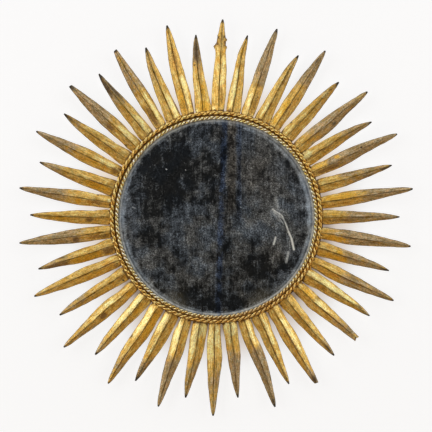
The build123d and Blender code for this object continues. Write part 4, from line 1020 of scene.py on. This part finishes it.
# ---------------------------------------------------------------- twisted ropes
def rope_piece(name, node, centre_radius, centre_depth, envelope, reach_in, reach_out, turns, swing, lag,
               bead, outward_dirt_shade, offset, seed, material):
    """Two wires twisted round each other and closed into a ring, laid a little off centre."""
    steps = turns * 26
    around = 14
    theta = np.arange(steps) / steps * TAU
    strand = envelope / 2
    verts, faces, groove, low, lighter_hollows_top_right, painted_shade_low_ring, rps = [], [], [], [], [], [], []
    ring = np.stack([np.cos(theta), np.sin(theta), theta * 0], 1)
    wob_r = (fbm(ring * 3.0 + 5, seed, 3) - 0.5) * 0.0006
    wob_d = (fbm(ring * 3.5 + 9, seed + 1, 3) - 0.5) * 0.0005
    wob_p = (fbm(ring * 9.0 + 2, seed + 2, 2) - 0.5) * 1.3
    first = 0
    for which in range(2):
        psi = -(turns * theta - swing * np.cos(theta - math.radians(lag))) + math.pi * which + wob_p
        loose = 1.0 - 0.06 * fbm(ring * 14 + 3 * which, seed + 5 + which, 2)
        h = strand * loose
        sideways = np.where(np.cos(psi) < 0, reach_in, reach_out) * np.cos(psi)
        cr = centre_radius + wob_r + h * sideways
        cd = centre_depth + wob_d + h * np.sin(psi)
        c = np.stack([cr * np.sin(theta), -cd, cr * np.cos(theta)], 1)
        tangent = np.roll(c, -1, 0) - np.roll(c, 1, 0)
        tangent /= np.linalg.norm(tangent, axis=1)[:, None]
        middle = np.stack([(centre_radius + wob_r) * np.sin(theta), -(centre_depth + wob_d),
                           (centre_radius + wob_r) * np.cos(theta)], 1)
        inward = middle - c
        inward -= tangent * np.sum(inward * tangent, 1)[:, None]
        inward /= np.linalg.norm(inward, axis=1)[:, None]
        other = np.cross(tangent, inward)
        uneven = 1 + 0.10 * (fbm(ring * 40 + 7 * which, seed + 8 + which, 2) - 0.5)
        wire = strand * 0.95 * uneven * (1 - bead + bead * np.sin(psi))
        block = []
        for j in range(around):
            a = TAU * j / around
            nrm = inward * math.cos(a) + other * math.sin(a)
            dent = 1 + 0.07 * (fbm(np.stack([theta * 90, theta * 0 + j * 0.8, theta * 0 + which], 1), seed + 11, 2) - 0.5)
            point = c + nrm * (wire * dent)[:, None]
            block.append(point)
            groove.append(np.full(steps, math.cos(a)))
            # depth below the crest, used for dirt and painted shade in the low parts
            sink = (centre_depth + envelope - (-point[:, 1])) / (2 * envelope)
            out = (np.hypot(point[:, 0], point[:, 2]) - centre_radius) / envelope
            low.append(sink * 1.06 + outward_dirt_shade * np.maximum(out, 0))
            # highest towards the top right of the ring, where the hollows come out lighter
            lighter_hollows_top_right.append((0.5 + 0.5 * np.cos(theta - math.radians(25))) ** 0.8)
            # painted shade, strongest at about half past five on the ring
            painted_shade_low_ring.append(np.exp(-((theta - math.radians(162)) / 0.85) ** 2))
            point[:, 0] += offset[0]
            point[:, 2] += offset[1]
            rps.append(point + np.array([which * 0.31, 0.0, 0.0]))
        verts.append(np.stack(block, 1).reshape(-1, 3))
        for i in range(steps):
            i2 = (i + 1) % steps
            for j in range(around):
                j2 = (j + 1) % around
                faces.append((first + i * around + j, first + i2 * around + j, first + i2 * around + j2, first + i * around + j2))
        first += steps * around

    def gathered(rows):
        return np.concatenate([np.stack(rows[k * around:(k + 1) * around], 1).ravel() for k in range(2)])

    rps = np.concatenate([np.stack(rps[k * around:(k + 1) * around], 1).reshape(-1, 3) for k in range(2)])
    ob = make_object(name, np.concatenate(verts), faces, {"groove": gathered(groove), "low": gathered(low), "lighter_hollows_top_right": gathered(lighter_hollows_top_right), "painted_shade_low_ring": gathered(painted_shade_low_ring),
                      "rp": rps})
    ob.data.materials.append(material)
    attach(ob, "mirror")
    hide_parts(node)
    return ob


rope_piece("rope_strands", "outer_twisted_rope", 0.18235, 0.02502, 0.00405, 1.12, 0.80, 55, 2.75, 10, 0.24, 0.42,
           (-0.0009, 0.0009), 401, gilt_wire_material("gilded_rope_wire", 0.04, 0.45, 1.20, 0.0, 0.16))
rope_piece("trim_strands", "inner_twisted_trim", 0.17386, 0.0257, 0.00345, 1.12, 1.10, 69, 1.2, 60, 0.32, 0.05,
           (-0.0003, 0.0004), 501, gilt_wire_material("gilded_trim_wire", 0.03, 1.0, 1.78, 0.75, 0.42))


# --------------------------------------------------------------- braze at the rope
def braze_piece(material):
    """Small lumps of braze and gesso where the rays are fixed under the rope."""
    rng = np.random.default_rng(91)
    verts, faces, groove, rps = [], [], [], []
    rows, cols = 7, 10
    for number, (base_angle, *_rest) in enumerate(RAYS, 1):
        for side in (-1, 1):
            if rng.random() < 0.12:
                continue
            size = rng.uniform(0.0011, 0.0025)
            r = rng.uniform(0.1846, 0.1876)
            a = math.radians(base_angle + side * rng.uniform(1.2, 3.9))
            flat = rng.uniform(0.45, 0.7)
            depth = 0.0174 + rng.uniform(0.0, 0.0022)
            c = np.array([r * math.sin(a), -depth, r * math.cos(a)])
            out = np.array([math.sin(a), 0, math.cos(a)])
            tan = np.array([math.cos(a), 0, -math.sin(a)])
            up = np.array([0, -1, 0])
            stretch = rng.uniform(1.0, 1.9)
            first = sum(len(v) for v in verts)
            pts = []
            for i in range(rows + 1):
                lat = math.pi * i / rows
                for j in range(cols):
                    lon = TAU * j / cols
                    d = np.array([math.sin(lat) * math.cos(lon), math.sin(lat) * math.sin(lon), math.cos(lat)])
                    bump = 1 + 0.5 * (value_noise((d * 1.6 + number + 40 * side)[None, :], 33)[0] - 0.5)
                    pts.append(c + (tan * d[0] * stretch + out * d[1] + up * d[2] * flat) * size * bump)
            verts.append(np.array(pts))
            for i in range(rows):
                for j in range(cols):
                    j2 = (j + 1) % cols
                    a0, a1 = first + i * cols + j, first + i * cols + j2
                    b0, b1 = a0 + cols, a1 + cols
                    faces.append((a0, b0, b1, a1))
            groove.append(np.full(len(pts), rng.choice([0.15, 0.45, 0.75])))
            rps.append(np.array(pts))
    groove = np.concatenate(groove)
    ob = make_object("braze_lumps", np.concatenate(verts), faces,
                     {"groove": groove, "low": groove, "rp": np.concatenate(rps)})
    ob.data.materials.append(material)
    # the poles are rings of equal points: weld them
    import bmesh
    bm = bmesh.new()
    bm.from_mesh(ob.data)
    bmesh.ops.remove_doubles(bm, verts=bm.verts, dist=1e-6)
    bmesh.ops.recalc_face_normals(bm, faces=bm.faces)
    bm.to_mesh(ob.data)
    bm.free()
    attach(ob, "mirror")
    return ob


braze_piece(gilt_wire_material("gilded_braze", 0.16, 0.5, 1.1))


# ----------------------------------------------------------------------- glass
def glass_piece(material):
    rear = math.sqrt(0.797 ** 2)
    apex = 0.0209 + 0.800 - math.sqrt(0.800 ** 2 - 0.1722 ** 2)
    edge = 0.1764

    def front(r):
        return apex - 0.800 + np.sqrt(0.800 ** 2 - r ** 2)

    def back(r):
        return apex - 0.800 + np.sqrt(rear ** 2 - r ** 2)

    segs = 288
    radii = np.concatenate([np.linspace(0, edge, 61)[1:-1], [edge - 0.0003]])
    rings = [(r, front(r)) for r in radii]
    rings += [(edge, front(edge) - 0.0003), (edge, back(edge) + 0.0003), (edge - 0.0003, back(edge))]
    rings += [(r, back(r)) for r in np.linspace(edge, 0, 21)[1:-1]]
    theta = np.arange(segs) / segs * TAU
    verts = [(0.0, -front(0.0), 0.0)]
    for r, d in rings:
        verts += [(r * math.sin(t), -d, r * math.cos(t)) for t in theta]
    verts.append((0.0, -back(0.0), 0.0))
    faces = []
    for j in range(segs):
        faces.append((0, 1 + j, 1 + (j + 1) % segs))
    for k in range(len(rings) - 1):
        a, b = 1 + k * segs, 1 + (k + 1) * segs
        for j in range(segs):
            j2 = (j + 1) % segs
            faces.append((a + j, b + j, b + j2, a + j2))
    a, last = 1 + (len(rings) - 1) * segs, len(verts) - 1
    for j in range(segs):
        faces.append((a + (j + 1) % segs, a + j, last))
    rp = np.array(verts) / U
    ob = make_object("convex_glass", verts, faces, {"rp": rp}, sharp=30)
    ob.data.materials.append(material)
    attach(ob, "mirror")
    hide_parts("mirror_glass")
    return ob


glass_piece(glass_material())

# ------------------------------------------------------- materials of CAD nodes
NODE_MATERIALS = {
    "collar": (plain_metal("collar_patina", (0.74, 0.45, 0.13, 1), (0.36, 0.19, 0.045, 1), (0.09, 0.038, 0.010, 1),
                           0.55, 0.55, rust=0.6), "collar_brass"),
    "angle_hoop": (plain_metal("hoop_rusted_iron", (0.16, 0.085, 0.045, 1), (0.055, 0.035, 0.025, 1), (0.21, 0.075, 0.025, 1),
                               0.75, 0.55, rust=0.9, bump=0.5), "hoop_iron"),
    "glass_packing_ring": (card_material(), "packing_card"),
    "backboard": (plywood_material(), "backboard_ply"),
    "backboard_clips": (plain_metal("clip_zinc_steel", (0.46, 0.46, 0.44, 1), (0.26, 0.25, 0.235, 1), (0.17, 0.075, 0.03, 1),
                                    0.95, 0.42, scale=1.6, rust=0.35), "clip_steel"),
    "rim_rivets": (plain_metal("rivet_old_brass", (0.62, 0.42, 0.15, 1), (0.33, 0.20, 0.06, 1), (0.07, 0.045, 0.02, 1),
                               1.0, 0.38, scale=3, rust=0.3), "rivet_brass"),
    "hanger_strap": (plain_metal("strap_dark_steel", (0.33, 0.31, 0.29, 1), (0.13, 0.12, 0.11, 1), (0.20, 0.075, 0.025, 1),
                                 0.9, 0.45, scale=1.6, rust=0.5), "hanger_steel"),
    "hanger_rivets": (plain_metal("hanger_rivet_brass", (0.60, 0.42, 0.16, 1), (0.32, 0.20, 0.07, 1), (0.07, 0.045, 0.02, 1),
                                  1.0, 0.36, scale=3, rust=0.3), "rivet_brass"),
    "hanger_washers": (plain_metal("washer_steel", (0.42, 0.41, 0.39, 1), (0.22, 0.21, 0.20, 1), (0.17, 0.07, 0.03, 1),
                                   0.95, 0.42, scale=2, rust=0.35), "hanger_steel"),
    "hanging_ring": (plain_metal("ring_worn_steel", (0.55, 0.53, 0.50, 1), (0.24, 0.225, 0.205, 1), (0.20, 0.08, 0.03, 1),
                                 1.0, 0.34, scale=2, rust=0.3), "hanger_steel"),
}
for node, (material, slot) in NODE_MATERIALS.items():
    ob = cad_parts[node]
    ob.data.materials.clear()
    ob.data.materials.append(material)
    ob.data.polygons.foreach_set("use_smooth", [True] * len(ob.data.polygons))
    ob.data.set_sharp_from_angle(angle=math.radians(28))

# ----------------------------------------------------------------- stage and light
scene = bpy.context.scene


def stage_plane(name, corners, colour, glow=0.0):
    me = bpy.data.meshes.new(name)
    me.from_pydata(corners, [], [(0, 1, 2, 3)])
    ob = bpy.data.objects.new(name, me)
    scene.collection.objects.link(ob)
    m = Nodes(name + "_paint")
    p = m.object_coords()
    mott = m.noise(p, 3.0, 3.0, 0.5)
    fine = m.noise(p, 120.0, 3.0, 0.5)
    m.finish(m.mix(m.step(mott, 0.3, 0.7), colour, tuple(c * 0.985 for c in colour[:3]) + (1.0,)), 0.9, 0.0,
             m.bump(fine, 0.05, 0.001), Specular_IOR_Level=0.1, Emission_Color=(1, 1, 1, 1), Emission_Strength=glow)
    if glow > 0:
        # light comes back warm from the gilding onto the wall close around it
        far = m.vmath("LENGTH", m.scaled(p, 1, 0, 1), out=1)
        halo = m.mix(m.step(far, 0.180, 0.262), (1.10, 0.89, 0.67, 1), (1.10, 1.10, 1.10, 1))
        halo = m.mix(m.step(far, 0.270, 0.350), halo, (1.03, 1.03, 1.035, 1))
        # and the rays shade it a little, more below than above
        px, py, pz = m.xyz(p)
        below = m.step(m.math("DIVIDE", m.sub(m.mul(px, 0.25), pz), far), -0.55, 0.75)
        shade = m.mul(m.step(far, 0.272, 0.195), m.add(0.16, m.mul(below, 0.60)))
        halo = m.mix(shade, halo, (0.60, 0.545, 0.525, 1))
        deep = m.mul(m.step(far, 0.214, 0.190), m.add(0.12, m.mul(below, 0.66)))
        halo = m.mix(deep, halo, (0.20, 0.135, 0.085, 1))
        m.put(m.p.inputs["Emission Color"], halo)
    # seen only from its front, so that the back of the mirror can be looked at too
    geo = m.nt.nodes.new("ShaderNodeNewGeometry")
    clear = m.nt.nodes.new("ShaderNodeBsdfTransparent")
    mixer = m.nt.nodes.new("ShaderNodeMixShader")
    m.nt.links.new(geo.outputs["Backfacing"], mixer.inputs[0])
    m.nt.links.new(m.p.outputs[0], mixer.inputs[1])
    m.nt.links.new(clear.outputs[0], mixer.inputs[2])
    m.nt.links.new(mixer.outputs[0], m.out.inputs[0])
    me.materials.append(m.mat)
    ob.visible_shadow = False
    ob.visible_diffuse = False
    ob.visible_glossy = False
    ob.visible_transmission = False
    return ob


WALL_Y = 0.0006
wall = stage_plane("studio_wall", [(-6, WALL_Y, -4), (6, WALL_Y, -4), (6, WALL_Y, 6), (-6, WALL_Y, 6)], (0.34, 0.34, 0.345, 1), 0.73)
floor = stage_plane("studio_floor", [(-14, -14, -1.5), (14, -14, -1.5), (14, 14, -1.5), (-14, 14, -1.5)], (0.80, 0.80, 0.795, 1), 0.42)


def lamp(name, direction, distance, size, power, colour=(1, 1, 1)):
    data = bpy.data.lights.new(name, "AREA")
    data.shape = "SQUARE"
    data.size = size
    data.energy = power
    data.color = colour
    ob = bpy.data.objects.new(name, data)
    d = Vector(direction).normalized()
    ob.location = d * distance
    ob.rotation_mode = "QUATERNION"
    ob.rotation_quaternion = (-d).to_track_quat("-Z", "Y")
    ob.visible_camera = False
    scene.collection.objects.link(ob)
    return ob


def towards(clock_angle, off_axis):
    """Direction that many degrees off the mirror's axis, towards a clock angle."""
    a, o = math.radians(clock_angle), math.radians(off_axis)
    return (math.sin(o) * math.sin(a), -math.cos(o), math.sin(o) * math.cos(a))


lamp("soft_left", towards(288, 52), 2.3, 1.7, 11.6)
lamp("soft_right", towards(70, 52), 2.3, 1.7, 10.1)
lamp("soft_top", towards(355, 60), 2.6, 1.6, 6.0)
lamp("soft_low_left", towards(208, 53), 2.4, 1.7, 2.5, (1.0, 0.79, 0.42))
lamp("soft_low_right", towards(150, 53), 2.4, 1.7, 2.3, (1.0, 0.77, 0.38))

# lights the back for views from behind; the front gets nothing from it
lamp("soft_behind", (-0.45, 0.85, 0.55), 2.6, 1.8, 26)

world = bpy.data.worlds.new("studio_air")
scene.world = world
world.use_nodes = True
nt = world.node_tree
nt.nodes.clear()


def wnode(kind, **inputs):
    n = nt.nodes.new(kind)
    for key, value in inputs.items():
        s = n.inputs[key.replace("_", " ")]
        if isinstance(value, bpy.types.NodeSocket):
            nt.links.new(value, s)
        else:
            s.default_value = value
    return n


coords = nt.nodes.new("ShaderNodeTexCoord")
sep = nt.nodes.new("ShaderNodeSeparateXYZ")
nt.links.new(coords.outputs["Generated"], sep.inputs[0])
up = nt.nodes.new("ShaderNodeMapRange")
up.interpolation_type = "SMOOTHSTEP"
nt.links.new(sep.outputs[2], up.inputs["Value"])
up.inputs["From Min"].default_value = -0.75
up.inputs["From Max"].default_value = 0.9
up.inputs["To Min"].default_value = 0.34
up.inputs["To Max"].default_value = 0.50
# the unlit room behind the camera, which is what the middle of the glass shows
room = nt.nodes.new("ShaderNodeMapRange")
room.interpolation_type = "SMOOTHSTEP"
nt.links.new(sep.outputs[1], room.inputs["Value"])
room.inputs["From Min"].default_value = -math.cos(math.radians(29.0))
room.inputs["From Max"].default_value = -math.cos(math.radians(34.0))
room.inputs["To Min"].default_value = 0.035
room.inputs["To Max"].default_value = 1.0
level = nt.nodes.new("ShaderNodeMath")
level.operation = "MULTIPLY"
nt.links.new(up.outputs["Result"], level.inputs[0])
nt.links.new(room.outputs["Result"], level.inputs[1])
path = nt.nodes.new("ShaderNodeLightPath")
shown = nt.nodes.new("ShaderNodeMix")
shown.data_type = "FLOAT"
nt.links.new(path.outputs["Is Camera Ray"], shown.inputs[0])
nt.links.new(level.outputs[0], shown.inputs[2])
shown.inputs[3].default_value = 0.93
# light returned by the floor is warmer
warmth = nt.nodes.new("ShaderNodeMapRange")
warmth.interpolation_type = "SMOOTHSTEP"
nt.links.new(sep.outputs[2], warmth.inputs["Value"])
warmth.inputs["From Min"].default_value = -0.42
warmth.inputs["From Max"].default_value = 0.05
air = nt.nodes.new("ShaderNodeMix")
air.data_type = "RGBA"
nt.links.new(warmth.outputs["Result"], air.inputs[0])
air.inputs[6].default_value = (1.0, 0.80, 0.56, 1)
air.inputs[7].default_value = (0.99, 0.99, 1.0, 1)
tone = nt.nodes.new("ShaderNodeMix")
tone.data_type = "RGBA"
nt.links.new(path.outputs["Is Camera Ray"], tone.inputs[0])
nt.links.new(air.outputs[2], tone.inputs[6])
tone.inputs[7].default_value = (0.985, 0.99, 1.0, 1)
bg = nt.nodes.new("ShaderNodeBackground")
nt.links.new(tone.outputs[2], bg.inputs["Color"])
nt.links.new(shown.outputs[0], bg.inputs["Strength"])
wout = nt.nodes.new("ShaderNodeOutputWorld")
nt.links.new(bg.outputs[0], wout.inputs[0])

scene.view_settings.view_transform = "Standard"
scene.view_settings.look = "None"
scene.view_settings.exposure = 0.0
scene.view_settings.gamma = 1.0

# --------------------------------------------------------------------- camera
# The photograph is taken straight on. Its 432 pixels span 756 mm at the rays.
cam_data = bpy.data.cameras.new("camera")
cam_data.sensor_width = 36.0
distance = 3.0
cam_data.lens = 18.0 / (0.378 / distance)
cam_data.clip_end = 60.0
cam = bpy.data.objects.new("camera", cam_data)
aim = Vector(((215.5 - 216.19) * U, -0.018, (217.05 - 215.5) * U))
cam.location = aim + Vector((0, -distance, 0))
cam.rotation_euler = (math.radians(90), 0, 0)
scene.collection.objects.link(cam)
scene.camera = cam

bpy.context.view_layer.update()
